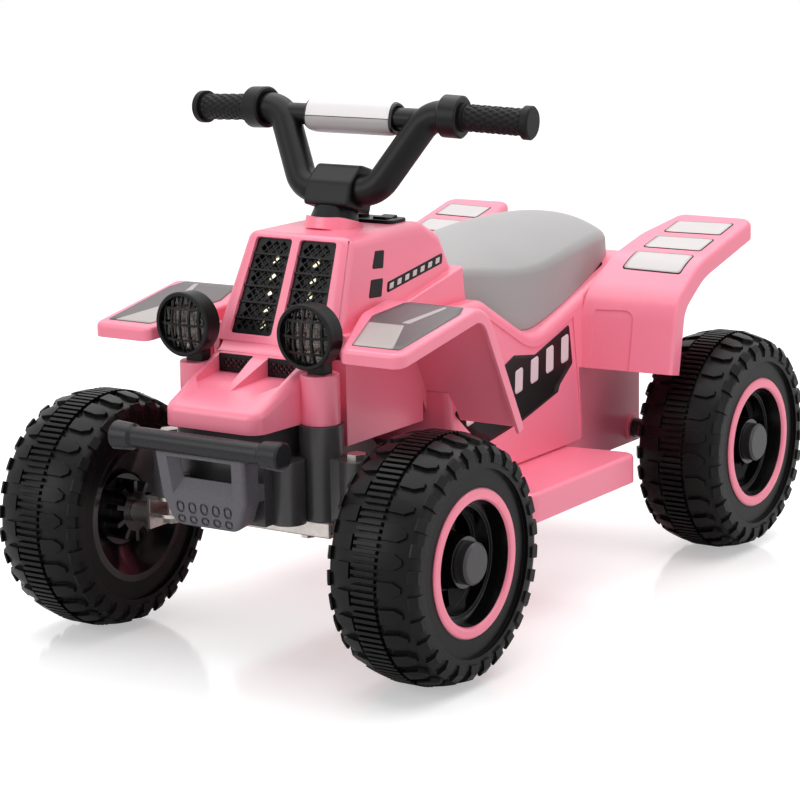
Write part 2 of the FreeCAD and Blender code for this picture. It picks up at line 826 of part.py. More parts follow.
def front_housing():
    """Dark front moulding: hollow block, fluted columns, kingpin bosses and bush."""
    side = [
        (HOUSING_FRONT, HOUSING_BOTTOM),
        (HOUSING_FRONT, NOSE_BOTTOM - FIT),
        (BOX_FRONT - FIT, NOSE_BOTTOM - FIT),
        (BOX_FRONT - FIT, HOUSING_TOP),
        (HOUSING_STEP_Y, HOUSING_TOP),
        (HOUSING_STEP_Y + (HOUSING_TOP - HOUSING_TAIL_TOP), HOUSING_TAIL_TOP),
        (HOUSING_BACK, HOUSING_TAIL_TOP),
        (HOUSING_BACK, HOUSING_BOTTOM),
    ]
    hollow = inset(side, WALL)
    hollow = [(y, z - 2 * WALL if z < HOUSING_BOTTOM + 2 * WALL else z) for y, z in hollow]
    solid = across(side, 0, -HOUSING_HALF, HOUSING_HALF)
    columns = []
    for sign in (1, -1):
        foot = Vec(sign * LAMP_X, LAMP_Y, HOUSING_BOTTOM)
        columns.append(rod(foot, Vec(foot.x, foot.y, NOSE_BOTTOM - FIT), COLUMN_POST_RADIUS))
        foot = Vec(sign * FLUTE_X, FLUTE_Y, HOUSING_BOTTOM)
        columns.append(rod(foot, Vec(foot.x, foot.y, HOUSING_TOP), FLUTE_RADIUS))
        foot = Vec(sign * KINGPIN_X, FRONT_Y, HOUSING_BOTTOM)
        columns.append(rod(foot, Vec(foot.x, foot.y, KINGPIN_BOSS_TOP), KINGPIN_BOSS_RADIUS))
        near, far = sorted((sign * HOUSING_HALF, sign * KINGPIN_X))
        columns.append(block(
            Vec(near, FRONT_Y - WEB_HALF, HOUSING_BOTTOM),
            Vec(far, FRONT_Y + WEB_HALF, KINGPIN_BOSS_TOP),
        ))
    solid = fused(solid, *columns)
    solid = solid.cut(across(hollow, 0, -HOUSING_HALF + WALL, HOUSING_HALF - WALL))
    bush = rod(axis_at(HOUSING_BOTTOM), axis_at(HOUSING_TOP - WALL / 2), BUSH_RADIUS)
    bush = bush.common(block(
        Vec(-HOUSING_HALF, HOUSING_FRONT, HOUSING_BOTTOM),
        Vec(HOUSING_HALF, HOUSING_BACK, HOUSING_TOP),
    ))
    solid = fused(solid, bush)
    low = axis_at(HOUSING_BOTTOM - 4 * OVERRUN)
    high = axis_at(HOUSING_TOP + 4 * OVERRUN)
    bores = [rod(low, high, COLUMN_RADIUS + RUN)]
    for sign in (1, -1):
        foot = Vec(sign * KINGPIN_X, FRONT_Y, HOUSING_BOTTOM - OVERRUN)
        bores.append(rod(foot, Vec(foot.x, foot.y, KINGPIN_BOSS_TOP + OVERRUN), KINGPIN_RADIUS + RUN))
    return solid.cut(bores)


def axle_beam():
    """Steel box beam bolted under the front housing."""
    top = HOUSING_BOTTOM
    low = top - BEAM_HEIGHT
    outer = block(
        Vec(-BEAM_HALF, FRONT_Y - BEAM_WIDTH / 2, low),
        Vec(BEAM_HALF, FRONT_Y + BEAM_WIDTH / 2, top),
    )
    inner = block(
        Vec(-BEAM_HALF - OVERRUN, FRONT_Y - BEAM_WIDTH / 2 + STEEL, low + STEEL),
        Vec(BEAM_HALF + OVERRUN, FRONT_Y + BEAM_WIDTH / 2 - STEEL, top - STEEL),
    )
    beam = outer.cut(inner)
    bends = edges_where(beam, lambda p: abs(p.x) < FIT and abs(abs(p.y - FRONT_Y) - BEAM_WIDTH / 2) < FIT)
    beam = beam.makeFillet(STEEL / 2, bends)
    for sign in (1, -1):
        foot = Vec(sign * BEAM_BOLT_X, FRONT_Y, low - OVERRUN)
        beam = beam.cut(rod(foot, Vec(foot.x, foot.y, top + OVERRUN), BEAM_BOLT_RADIUS + RUN))
    return beam


def beam_bolts():
    """Bolts with nuts that hold the beam to the housing."""
    low = HOUSING_BOTTOM - BEAM_HEIGHT
    foot = Vec(BEAM_BOLT_X, FRONT_Y, low)
    shank = rod(foot - Z_AXIS * BEAM_NUT_HEIGHT, foot + Z_AXIS * BEAM_HEIGHT, BEAM_BOLT_RADIUS)
    nut = hexagon(foot - Z_AXIS * BEAM_NUT_HEIGHT, Z_AXIS, BEAM_NUT_RADIUS, BEAM_NUT_HEIGHT)
    return both_sides(fused(shank, nut))


def kingpin_bolts():
    """Long bolts on which the knuckles turn."""
    low = KNUCKLE_LOWER_LUG - FIT
    foot = Vec(KINGPIN_X, FRONT_Y, low)
    top = Vec(KINGPIN_X, FRONT_Y, KINGPIN_BOSS_TOP)
    shank = rod(foot - Z_AXIS * NUT_HEIGHT, top, KINGPIN_RADIUS)
    head = hexagon(top, Z_AXIS, KINGPIN_HEAD_RADIUS, KINGPIN_HEAD)
    nut = hexagon(foot - Z_AXIS * NUT_HEIGHT, Z_AXIS, KINGPIN_HEAD_RADIUS, NUT_HEIGHT)
    return both_sides(fused(shank, head, nut))


def knuckle():
    """Left steel knuckle: two lugs, upright plate, stub axle and steering arm."""
    top = HOUSING_BOTTOM - FIT
    plate_x = KINGPIN_X + KINGPIN_BOSS_RADIUS + STEEL
    pieces = []
    for low in (top - STEEL, KNUCKLE_LOWER_LUG):
        pieces.append(rod(Vec(KINGPIN_X, FRONT_Y, low), Vec(KINGPIN_X, FRONT_Y, low + STEEL), LUG_RADIUS))
        pieces.append(block(
            Vec(KINGPIN_X, FRONT_Y - KNUCKLE_WIDTH / 2, low),
            Vec(plate_x, FRONT_Y + KNUCKLE_WIDTH / 2, low + STEEL),
        ))
    pieces.append(block(
        Vec(plate_x - STEEL, FRONT_Y - KNUCKLE_WIDTH / 2, KNUCKLE_BOTTOM),
        Vec(plate_x, FRONT_Y + KNUCKLE_WIDTH / 2, top),
    ))
    hub_end = WHEEL_X - HUB_BACK - FIT
    inboard = Vec(plate_x - STEEL, FRONT_Y, AXLE_Z)
    pieces.append(rod(inboard, Vec(hub_end, FRONT_Y, AXLE_Z), STUB_COLLAR_RADIUS))
    pieces.append(rod(Vec(plate_x, FRONT_Y, AXLE_Z), Vec(WHEEL_X + AXLE_END, FRONT_Y, AXLE_Z), AXLE_RADIUS))
    arm_y = FRONT_Y + KNUCKLE_ARM
    low = KNUCKLE_LOWER_LUG
    pieces.append(block(
        Vec(KINGPIN_X - ARM_WIDTH / 2, FRONT_Y, low),
        Vec(KINGPIN_X + ARM_WIDTH / 2, arm_y, low + STEEL),
    ))
    pieces.append(rod(Vec(KINGPIN_X, arm_y, low), Vec(KINGPIN_X, arm_y, low + STEEL), ARM_WIDTH / 2))
    pin_low = Vec(KINGPIN_X, arm_y, low - FIT - STEEL - FIT)
    pieces.append(rod(pin_low, Vec(KINGPIN_X, arm_y, low), PIN_RADIUS))
    pieces.append(rod(pin_low - Z_AXIS * PIN_HEAD, pin_low, PIN_HEAD_RADIUS))
    solid = fused(*pieces)
    bore = rod(
        Vec(KINGPIN_X, FRONT_Y, low - OVERRUN),
        Vec(KINGPIN_X, FRONT_Y, top + OVERRUN),
        KINGPIN_RADIUS + RUN,
    )
    return solid.cut(bore)


def crank_pin_y():
    """How far back the crank's pin lies."""
    return axis_at(CRANK_Z).y + CRANK_REACH


def tie_rod():
    """Flat steel link between the knuckle arms, with a tab for the crank pin."""
    high = KNUCKLE_LOWER_LUG - FIT
    low = high - STEEL
    arm_y = FRONT_Y + KNUCKLE_ARM
    half = TIE_WIDTH / 2
    pin_y = crank_pin_y()
    bar = block(Vec(-KINGPIN_X, arm_y - half, low), Vec(KINGPIN_X, arm_y + half, high))
    ends = [rod(Vec(s * KINGPIN_X, arm_y, low), Vec(s * KINGPIN_X, arm_y, high), half) for s in (1, -1)]
    tab = upward(
        [(-2 * TIE_WIDTH, arm_y), (2 * TIE_WIDTH, arm_y), (half, pin_y), (-half, pin_y)], 0, low, high)
    tip = rod(Vec(0, pin_y, low), Vec(0, pin_y, high), half)
    solid = fused(bar, tab, tip, *ends)
    cuts = [rod(Vec(0, pin_y, low - OVERRUN), Vec(0, pin_y, high + OVERRUN), PIN_RADIUS + CRANK_CLEARANCE)]
    for sign, clearance in ((1, RUN), (-1, FIT)):
        foot = Vec(sign * KINGPIN_X, arm_y, low - OVERRUN)
        cuts.append(rod(foot, Vec(foot.x, foot.y, high + OVERRUN), PIN_RADIUS + clearance))
    return solid.cut(cuts)


# Steering


def steering_column():
    """Steel rod from the clamp to a flat crank with an upright pin."""
    foot = axis_at(CRANK_Z)
    shaft = rod(foot, steer_point(0, CLAMP_TOP - WALL), COLUMN_RADIUS)
    half = ARM_WIDTH / 2
    pin_y = crank_pin_y()
    low = CRANK_Z - CRANK_THICK
    arm = block(Vec(-half, foot.y, low), Vec(half, pin_y, CRANK_Z))
    eye = rod(Vec(0, foot.y, low), Vec(0, foot.y, CRANK_Z), half + WALL)
    tip = rod(Vec(0, pin_y, low), Vec(0, pin_y, CRANK_Z), half)
    pin_low = KNUCKLE_LOWER_LUG - 2 * STEEL
    pin = rod(Vec(0, pin_y, pin_low), Vec(0, pin_y, low), PIN_RADIUS)
    return fused(shaft, arm, eye, tip, pin)


def column_sleeve():
    """Plastic sleeve round the column, with a flared foot."""
    low = steer_point(0, SLEEVE_BOTTOM)
    high = steer_point(0, CLAMP_BOTTOM)
    flare = Part.makeCone(SLEEVE_RADIUS, SLEEVE_RADIUS - WALL, (high - low).Length, low, AXIS_UP)
    return flare.cut(rod(low - AXIS_UP * OVERRUN, high + AXIS_UP * OVERRUN, COLUMN_RADIUS + RUN))


def clamp():
    """Moulded block that holds the bar on the column, with a rounded top and a leaning face."""
    section = [
        (-CLAMP_DEPTH, CLAMP_BOTTOM),
        (CLAMP_DEPTH, CLAMP_BOTTOM),
        (CLAMP_DEPTH, CLAMP_TOP),
        (-CLAMP_DEPTH / 3, CLAMP_TOP),
        (-CLAMP_DEPTH, CLAMP_TOP - CLAMP_DEPTH),
    ]
    points = [steer_point(-CLAMP_HALF, high, back) for back, high in section]
    radii = [WALL, WALL, CLAMP_ROUND, CLAMP_ROUND, CLAMP_ROUND]
    solid = prism(points, radii, X_AXIS * (2 * CLAMP_HALF))
    sides = edges_where(solid, lambda p: abs(abs(p.x) - CLAMP_HALF) < FIT)
    solid = solid.makeFillet(WALL / 2, sides)
    bar = rod(steer_point(-2 * CLAMP_HALF, BAR_LOW), steer_point(2 * CLAMP_HALF, BAR_LOW), BAR_RADIUS + RUN)
    column = rod(steer_point(0, 0), steer_point(0, CLAMP_TOP - WALL), COLUMN_RADIUS + RUN)
    return solid.cut([bar, column])


def crossbar_share():
    """How far up the bar's arms the crossbar lies."""
    return (CROSSBAR_HIGH - BAR_LOW) / (BAR_HIGH - BAR_LOW)


def crossbar_point(x, up=0, back=0):
    """Point given across, above and behind the crossbar's axis."""
    return steer_point(x, CROSSBAR_HIGH + up, BAR_BACK * crossbar_share() + back)


def handlebar():
    """Bent tube with swept grip ends and a crossbar."""
    right = [
        steer_point(BAR_LOW_X, BAR_LOW),
        steer_point(BAR_HIGH_X, BAR_HIGH, BAR_BACK),
        steer_point(COLLAR_X, BAR_HIGH, BAR_BACK),
    ]
    left = [Vec(-p.x, p.y, p.z) for p in right[::-1]]
    bar = bent_tube(left + right, BAR_BEND, BAR_RADIUS, BAR_RADIUS - BAR_WALL)
    share = crossbar_share()
    reach = BAR_LOW_X + (BAR_HIGH_X - BAR_LOW_X) * share
    left_end = crossbar_point(-reach)
    right_end = crossbar_point(reach)
    cross = rod(left_end, right_end, CROSSBAR_RADIUS)
    core = bent_tube(left + right, BAR_BEND, BAR_RADIUS - BAR_WALL / 2, FIT)
    cross = cross.cut(core)
    middle = [s for s in cross.Solids if abs(s.CenterOfMass.x) < FIT]
    bar = fused(bar, middle[0])
    shaft = rod(steer_point(0, CLAMP_BOTTOM), steer_point(0, CLAMP_TOP), COLUMN_RADIUS + RUN)
    bar = bar.cut(shaft)
    cores = []
    for sign in (1, -1):
        start, end = grip_line(sign)
        heading = (end - start).normalize()
        plug = start - X_AXIS * (sign * WALL)
        cores.append(rod(plug, start, BAR_RADIUS - BAR_WALL / 2))
        cores.append(rod(start - heading * (WALL / 2), end - heading * (WALL + FIT), GRIP_CORE_RADIUS))
    return fused(bar, *cores)


def grip_line(sign):
    """Start and end of a grip's axis; sign is 1 on the left."""
    start = steer_point(sign * COLLAR_X, BAR_HIGH, BAR_BACK)
    end = steer_point(sign * GRIP_END_X, GRIP_END_HIGH, GRIP_SWEEP)
    return start, end


def grip(sign):
    """Rubber grip with end flange, rings and a hollow core."""
    start, end = grip_line(sign)
    heading = (end - start).normalize()
    length = (end - start).Length
    first = length - GRIP_LENGTH
    flange = length - GRIP_FLANGE
    section = [
        (first, 0),
        (first, GRIP_RADIUS + WALL / 2),
        (first + WALL, GRIP_RADIUS + WALL / 2),
        (first + WALL, GRIP_RADIUS),
        (flange, GRIP_RADIUS),
        (flange, GRIP_FLANGE_RADIUS),
        (length - WALL / 2, GRIP_FLANGE_RADIUS),
        (length, GRIP_FLANGE_RADIUS - WALL / 2),
        (length, 0),
    ]
    solid = turned(section)
    solid = solid.cut(rod(Vec(first - OVERRUN, 0, 0), Vec(length - WALL, 0, 0), GRIP_CORE_RADIUS + RUN))
    solid.Placement = FreeCAD.Placement(start, FreeCAD.Rotation(X_AXIS, heading))
    return solid


def grip_collars():
    """Ribbed collars between bar and grips."""
    collars = []
    for sign in (1, -1):
        start, end = grip_line(sign)
        heading = (end - start).normalize()
        length = (end - start).Length - GRIP_LENGTH
        bevel = WALL / 2
        section = [
            (length - COLLAR_LENGTH + bevel, GRIP_CORE_RADIUS),
            (length - COLLAR_LENGTH, COLLAR_RADIUS - bevel),
            (length - COLLAR_LENGTH + bevel, COLLAR_RADIUS),
            (length - bevel, COLLAR_RADIUS),
            (length, COLLAR_RADIUS - bevel),
            (length, GRIP_CORE_RADIUS),
        ]
        collar = turned(section)
        collar.Placement = FreeCAD.Placement(start, FreeCAD.Rotation(X_AXIS, heading))
        inboard = start - X_AXIS * (sign * COLLAR_LENGTH)
        bar_end = rod(inboard, start + X_AXIS * (sign * FIT), BAR_RADIUS + 2 * FIT)
        collars.append(collar.cut([bar_end, rod(start, end, GRIP_CORE_RADIUS + RUN)]))
    return Part.makeCompound(collars)


def crossbar_pad():
    """Rounded sleeve on the crossbar."""
    half_high = PAD_HEIGHT / 2
    half_deep = PAD_DEPTH / 2
    corners = [(-half_deep, -half_high), (half_deep, -half_high)]
    corners += [(half_deep, half_high), (-half_deep, half_high)]
    points = [crossbar_point(-PAD_HALF, high, back) for back, high in corners]
    pad = prism(points, PAD_ROUND, X_AXIS * (2 * PAD_HALF))
    bore = rod(
        crossbar_point(-PAD_HALF - OVERRUN),
        crossbar_point(PAD_HALF + OVERRUN),
        CROSSBAR_RADIUS + RUN,
    )
    return pad.cut(bore)


# Front cowl


def cowl_side():
    """Half width of the tank at a height: its sides lean in towards the top."""
    slope = (COWL_LEAN_HALF - COWL_TOP_HALF) / (COWL_TOP - COWL_LEAN_Z)
    return lambda z: COWL_TOP_HALF + (COWL_TOP - z) * slope


def tank_solid(inside):
    """Tank form: a side outline crossed with leaning sides."""
    side = [
        (COWL_FRONT_LOW, COWL_FRONT_LOW_Z),
        (COWL_FRONT_TOP, COWL_TOP),
        (COWL_DASH_END, COWL_TOP),
        (COWL_SHOULDER_Y, COWL_SHOULDER_Z),
        (COWL_REAR_MID_Y, COWL_REAR_MID_Z),
        (COWL_REAR, COWL_REAR_Z),
        (BOX_FRONT, COWL_REAR_Z),
    ]
    half = cowl_side()
    radii = [0, COWL_FRONT_ROUND, 2 * COWL_ROUND, COWL_ROUND, 2 * COWL_ROUND, 0, 0]
    low = COWL_REAR_Z
    if inside:
        side = inset(side, inside)
        radii = 0
        side[-2] = (side[-2][0], COWL_REAR_Z - OVERRUN)
        side[-1] = (side[-1][0], COWL_REAR_Z - OVERRUN)
        low -= OVERRUN
    front = [
        (-half(low) + inside, low),
        (half(low) - inside, low),
        (half(COWL_TOP) - inside, COWL_TOP),
        (-half(COWL_TOP) + inside, COWL_TOP),
    ]
    solid = across(side, radii, -BOX_HALF, BOX_HALF)
    solid = solid.common(along(front, 0, COWL_FRONT_LOW - OVERRUN, COWL_REAR + OVERRUN))
    if inside:
        return solid
    rounds = edges_where(
        solid,
        lambda p: p.z > COWL_REAR_Z + FIT and abs(p.x) > half(p.z) - FIT,
    )
    return solid.makeFillet(COWL_ROUND, rounds)


def box_solid(inside):
    """Lower cowl between the front wheels, topped by a ridge that rises rearwards."""
    side = [
        (BOX_FRONT, BOX_BOTTOM),
        (BOX_FRONT, RIDGE_FRONT_Z),
        (RIDGE_FRONT_Y, RIDGE_FRONT_Z),
        (COWL_REAR_MID_Y, RIDGE_REAR_Z),
        (COWL_REAR, COWL_REAR_Z),
        (BOX_BACK, COWL_REAR_Z),
        (BOX_BACK, BOX_BOTTOM),
    ]
    if inside:
        side = inset(side, inside)
        side[0] = (side[0][0], BOX_BOTTOM - OVERRUN)
        side[-1] = (side[-1][0], BOX_BOTTOM - OVERRUN)
        side[-2] = (side[-2][0], COWL_REAR_Z - OVERRUN)
        side[-3] = (side[-3][0], COWL_REAR_Z - OVERRUN)
        return across(side, 0, -BOX_HALF + inside, BOX_HALF - inside)
    solid = across(side, 0, -BOX_HALF, BOX_HALF)
    ridge = edges_where(
        solid,
        lambda p: abs(p.x) > BOX_HALF - FIT and p.z > RIDGE_FRONT_Z - FIT,
    )
    return solid.makeFillet(RIDGE_ROUND, ridge)


def front_guard():
    """Left front mudguard: flat top, rounded bend and a skirt behind the wheel."""
    slope = (GUARD_BEND_Z - GUARD_FRONT_Z) / (GUARD_BEND_Y - GUARD_FRONT)
    ahead = (GUARD_FRONT - 2 * OVERRUN, GUARD_FRONT_Z - 2 * OVERRUN * slope)
    path = [ahead, (GUARD_BEND_Y, GUARD_BEND_Z), (GUARD_BACK, GUARD_BACK_Z)]
    root = BOX_HALF - WALL / 2
    bend = GUARD_BEND_ROUND
    section = path + beside(path, -GUARD_LIP)[::-1]
    cap = across(section, [0, bend, 0, 0, bend - GUARD_LIP, 0], root, GUARD_OUTER)
    plan = [
        (GUARD_FRONT_INNER, GUARD_FRONT),
        (GUARD_OUTER, GUARD_FRONT),
        (GUARD_OUTER, GUARD_BACK + OVERRUN),
        (root, GUARD_BACK + OVERRUN),
        (root, GUARD_ROOT_Y),
    ]
    corners = [GUARD_CORNER, GUARD_CORNER, 0, 0, 0]
    low = BOX_BOTTOM - 4 * OVERRUN
    cap = cap.common(upward(plan, corners, low, COWL_TOP))
    upper = beside(path, -WALL)
    lower = beside(path, -GUARD_LIP - OVERRUN)
    down = ((GUARD_BACK - GUARD_BEND_Y), (GUARD_BACK_Z - GUARD_BEND_Z))
    share = 2 * OVERRUN / math.hypot(*down)
    for line in (upper, lower):
        line[-1] = (line[-1][0] + down[0] * share, line[-1][1] + down[1] * share)
    hollow = across(
        upper + lower[::-1],
        [0, bend - WALL, 0, 0, max(bend - GUARD_LIP - OVERRUN, WALL), 0],
        root,
        GUARD_OUTER,
    )
    inner = inset(plan, WALL)
    inner[2] = (inner[2][0], plan[2][1] + OVERRUN)
    inner[3] = (BOX_HALF, plan[3][1] + OVERRUN)
    inner[4] = (BOX_HALF, inner[4][1])
    hollow = hollow.common(upward(inner, [GUARD_CORNER - WALL, GUARD_CORNER - WALL, 0, 0, 0], low, COWL_TOP))
    border = outline(on_plan(plan), corners)
    skirt = Part.makePolygon(on_side(path[1:]))

    def on_rim(point):
        beside_plan = Part.Vertex(Vec(point.x, point.y, 0)).distToShape(border)[0]
        over_skirt = Part.Vertex(Vec(0, point.y, point.z)).distToShape(skirt)[0]
        top = slope * (point.y - GUARD_FRONT) + GUARD_FRONT_Z
        on_bend = abs(point.y - GUARD_BEND_Y) < bend and point.z > GUARD_BEND_Z - GUARD_LIP
        on_face = abs(point.z - top) < FIT or over_skirt < FIT or on_bend
        return on_face and beside_plan < FIT and point.x > root + FIT

    return cap.makeFillet(GUARD_ROUND, edges_where(cap, on_rim)).cut(hollow)


def cowl_face(z, depth=0, x=0):
    """Point on the leaning grille face at a height, moved inwards by a depth."""
    rise = Vec(0, COWL_FRONT_TOP - COWL_FRONT_LOW, COWL_TOP - COWL_FRONT_LOW_Z)
    share = (z - COWL_FRONT_LOW_Z) / rise.z
    inward = Vec(0, rise.z, -rise.y).normalize()
    return Vec(x, COWL_FRONT_LOW, COWL_FRONT_LOW_Z) + rise * share + inward * depth


def cowl_inward():
    """Direction square to the grille face, into the cowl."""
    return cowl_face(COWL_TOP, 1) - cowl_face(COWL_TOP)


def window_corners(grow=0, depth=0):
    """Corners of the left grille window, grown by a margin, at a depth."""
    low = WINDOW_LOW_Z - grow
    high = WINDOW_TOP_Z + grow / 2
    return [
        cowl_face(low, depth, WINDOW_GAP - grow),
        cowl_face(low, depth, WINDOW_LOW_OUT + grow),
        cowl_face(high, depth, WINDOW_TOP_OUT + grow),
        cowl_face(high, depth, WINDOW_GAP - grow),
    ]


def front_cowl():
    """Tank, lower box and mudguards as one open moulding."""
    outer = fused(tank_solid(0), box_solid(0))
    outer = outer.cut(fused(tank_solid(WALL), box_solid(WALL)))
    boss_low = axis_at(COWL_TOP - OVERRUN)
    boss = rod(boss_low, axis_at(COWL_TOP + BOSS_HEIGHT), BOSS_RADIUS)
    boss = boss.common(block(
        Vec(-BOX_HALF, COWL_FRONT_LOW, COWL_TOP - WALL),
        Vec(BOX_HALF, COWL_REAR, COWL_TOP + 2 * BOSS_HEIGHT),
    ))
    guard = front_guard()
    shell = fused(outer, boss, guard, mirrored(guard))
    window = prism(window_corners(0, -OVERRUN), WALL, cowl_inward() * (2 * OVERRUN))
    column = rod(axis_at(COWL_TOP - 4 * OVERRUN), axis_at(COWL_TOP + 4 * OVERRUN), COLUMN_RADIUS + FIT)
    middle = (DASH_FRONT + DASH_BACK) / 2
    reach = ROCKER_LENGTH / 2 + WALL / 2 + FIT
    well = block(
        Vec(-DASH_HALF + WALL, middle - reach, COWL_TOP - OVERRUN),
        Vec(DASH_HALF - WALL, middle + reach, COWL_TOP + OVERRUN),
    )
    sleeve = rod(steer_point(0, SLEEVE_BOTTOM - FIT), steer_point(0, CLAMP_TOP), SLEEVE_RADIUS + FIT)
    section = body_front(-FIT, BOX_BOTTOM - 2 * OVERRUN, BODY_UNDER_COWL + FIT)
    body = along(section, 0, BODY_FRONT - FIT, COWL_REAR)
    return shell.cut([window, mirrored(window), column, well, sleeve, body])


def lattice(corners, outer, pitch, bar, normal, thick):
    """Flat net: a face with whole diamond gaps inside the corners, thickened."""
    border = Part.Wire(outline(outer))
    frame_face = Part.Face(outline(corners))
    base = corners[0]
    across_line = (corners[1] - base).normalize()
    up_line = normal.cross(across_line).normalize()
    if up_line.z < 0:
        up_line = up_line * -1
    width = max((c - base).dot(across_line) for c in corners)
    height = max((c - base).dot(up_line) for c in corners)
    reach = pitch / 2 - bar / math.sqrt(2)
    wires = [border]
    rows = int(height / pitch * 2) + 1
    columns = int(width / pitch) + 2
    for row in range(rows):
        for column in range(columns):
            centre = base + up_line * (row * pitch / 2)
            centre = centre + across_line * ((column + (row % 2) / 2) * pitch)
            tips = [
                centre + across_line * reach,
                centre + up_line * reach,
                centre - across_line * reach,
                centre - up_line * reach,
            ]
            if all(frame_face.isInside(tip, FIT, True) for tip in tips):
                wires.append(outline(tips))
    face = Part.makeFace(wires, "Part::FaceMakerBullseye")
    return face.extrude(normal * thick)


def radiator_grilles():
    """Two net panels behind the cowl windows, with thin shelves across them."""
    normal = cowl_inward()
    net = lattice(
        window_corners(-GRILLE_RIM, WALL),
        window_corners(WALL, WALL),
        GRILLE_PITCH, GRILLE_BAR, normal, GRILLE_THICK)
    shelves = []
    step = (WINDOW_TOP_Z - WINDOW_LOW_Z) / TIER_COUNT
    for i in range(1, TIER_COUNT):
        low = WINDOW_LOW_Z + i * step - TIER_HEIGHT / 2
        share = i / TIER_COUNT
        outer = WINDOW_LOW_OUT + (WINDOW_TOP_OUT - WINDOW_LOW_OUT) * share - FIT
        depth = WALL - TIER_DEPTH / 2
        corners = [
            cowl_face(low, depth, WINDOW_GAP + FIT),
            cowl_face(low, depth, outer),
            cowl_face(low + TIER_HEIGHT, depth, outer),
            cowl_face(low + TIER_HEIGHT, depth, WINDOW_GAP + FIT),
        ]
        shelves.append(prism(corners, 0, normal * (TIER_DEPTH / 2 + GRILLE_THICK)))
    return both_sides(fused(net, *shelves))


def led_strips():
    """Boards that close the windows behind the nets, with a round light in each tier but the top one."""
    depth = WALL + GRILLE_THICK
    board = prism(window_corners(WALL / 2, depth + WALL), 0, cowl_inward() * (WALL / 2))
    lights = []
    for i in range(TIER_COUNT - 1):
        z = WINDOW_LOW_Z + (WINDOW_TOP_Z - WINDOW_LOW_Z) * (i + 1 / 2) / TIER_COUNT
        lights.append(rod(cowl_face(z, depth, LIGHT_X), cowl_face(z, depth + WALL, LIGHT_X), LIGHT_RADIUS))
    return both_sides(fused(board, *lights))


# Nose and lamps


def nose_top(y):
    """Height of the sloping hood at a place along the bike."""
    slope = (NOSE_REAR_Z - NOSE_FRONT_Z) / (NOSE_REAR - NOSE_FRONT)
    return NOSE_REAR_Z + (y - NOSE_REAR) * slope


def nose_solid(inside):
    """Nose form: a side outline that slopes to the front, crossed with a tapered plan."""
    rear = NOSE_REAR_HALF - inside
    front = NOSE_FRONT_HALF - inside
    tip = NOSE_FRONT + inside
    low = NOSE_BOTTOM
    side = [
        (BOX_FRONT - FIT, low),
        (BOX_FRONT - FIT, NOSE_REAR_Z),
        (NOSE_REAR, NOSE_REAR_Z),
        (NOSE_FRONT - OVERRUN, nose_top(NOSE_FRONT - OVERRUN)),
        (NOSE_FRONT - OVERRUN, low),
    ]
    if inside:
        side = inset(side, inside)
        side[0] = (side[0][0], low - OVERRUN)
        side[-1] = (side[-1][0], low - OVERRUN)
        low -= OVERRUN
    plan = [(-rear, BOX_FRONT), (-front, tip), (front, tip), (rear, BOX_FRONT)]
    corner = NOSE_CORNER - inside
    solid = across(side, [0, 0, 4 * NOSE_ROUND, 0, 0], -NOSE_REAR_HALF, NOSE_REAR_HALF)
    solid = solid.common(upward(plan, [0, corner, corner, 0], low, NOSE_REAR_Z + OVERRUN))
    if inside:
        return solid

    def on_shoulder(point):
        top = NOSE_REAR_Z if point.y > NOSE_REAR else nose_top(point.y)
        upright = point.y > NOSE_FRONT - FIT and point.y < BOX_FRONT - 2 * FIT
        middle = abs(point.x) < FIT and point.y > NOSE_FRONT + FIT
        return abs(point.z - top) < NOSE_ROUND / 4 and upright and not middle

    return solid.makeFillet(NOSE_ROUND, edges_where(solid, on_shoulder))


def scoop(inside):
    """Wedge cut of the left intake, deepest at the back."""
    drop = NOSE_REAR_Z - SCOOP_DROP - inside
    back = NOSE_REAR + inside
    side = [
        (SCOOP_FRONT - inside, nose_top(SCOOP_FRONT) - inside),
        (back, drop),
        (back, NOSE_REAR_Z + OVERRUN),
        (SCOOP_FRONT - inside, NOSE_REAR_Z + OVERRUN),
    ]
    solid = across(side, 0, SCOOP_TIP - inside, SCOOP_OUTER + inside)
    taper = [
        (SCOOP_INNER - inside, back),
        (SCOOP_OUTER + inside, back),
        (SCOOP_OUTER + inside, SCOOP_FRONT + NOSE_CORNER),
        (SCOOP_OUTER - NOSE_CORNER + inside, SCOOP_FRONT - inside),
        (SCOOP_TIP - inside, SCOOP_FRONT - inside),
    ]
    return solid.common(upward(taper, 0, NOSE_BOTTOM, NOSE_REAR_Z + 2 * OVERRUN))


def nose_cowl():
    """Nose hood with two intakes and the lamp posts at its rear corners."""
    outer = nose_solid(0)
    inner = nose_solid(WALL).cut([scoop(WALL), mirrored(scoop(WALL))])
    shell = outer.cut([inner, scoop(0), mirrored(scoop(0))])
    posts = []
    for sign in (1, -1):
        foot = Vec(sign * LAMP_X, LAMP_Y, NOSE_BOTTOM)
        post = rod(foot, Vec(foot.x, foot.y, LAMP_POST_TOP), LAMP_POST_RADIUS)
        posts.append(post.makeFillet(WALL / 2, edges_where(post, lambda p: p.z > LAMP_POST_TOP - FIT)))
    return fused(shell, *posts)


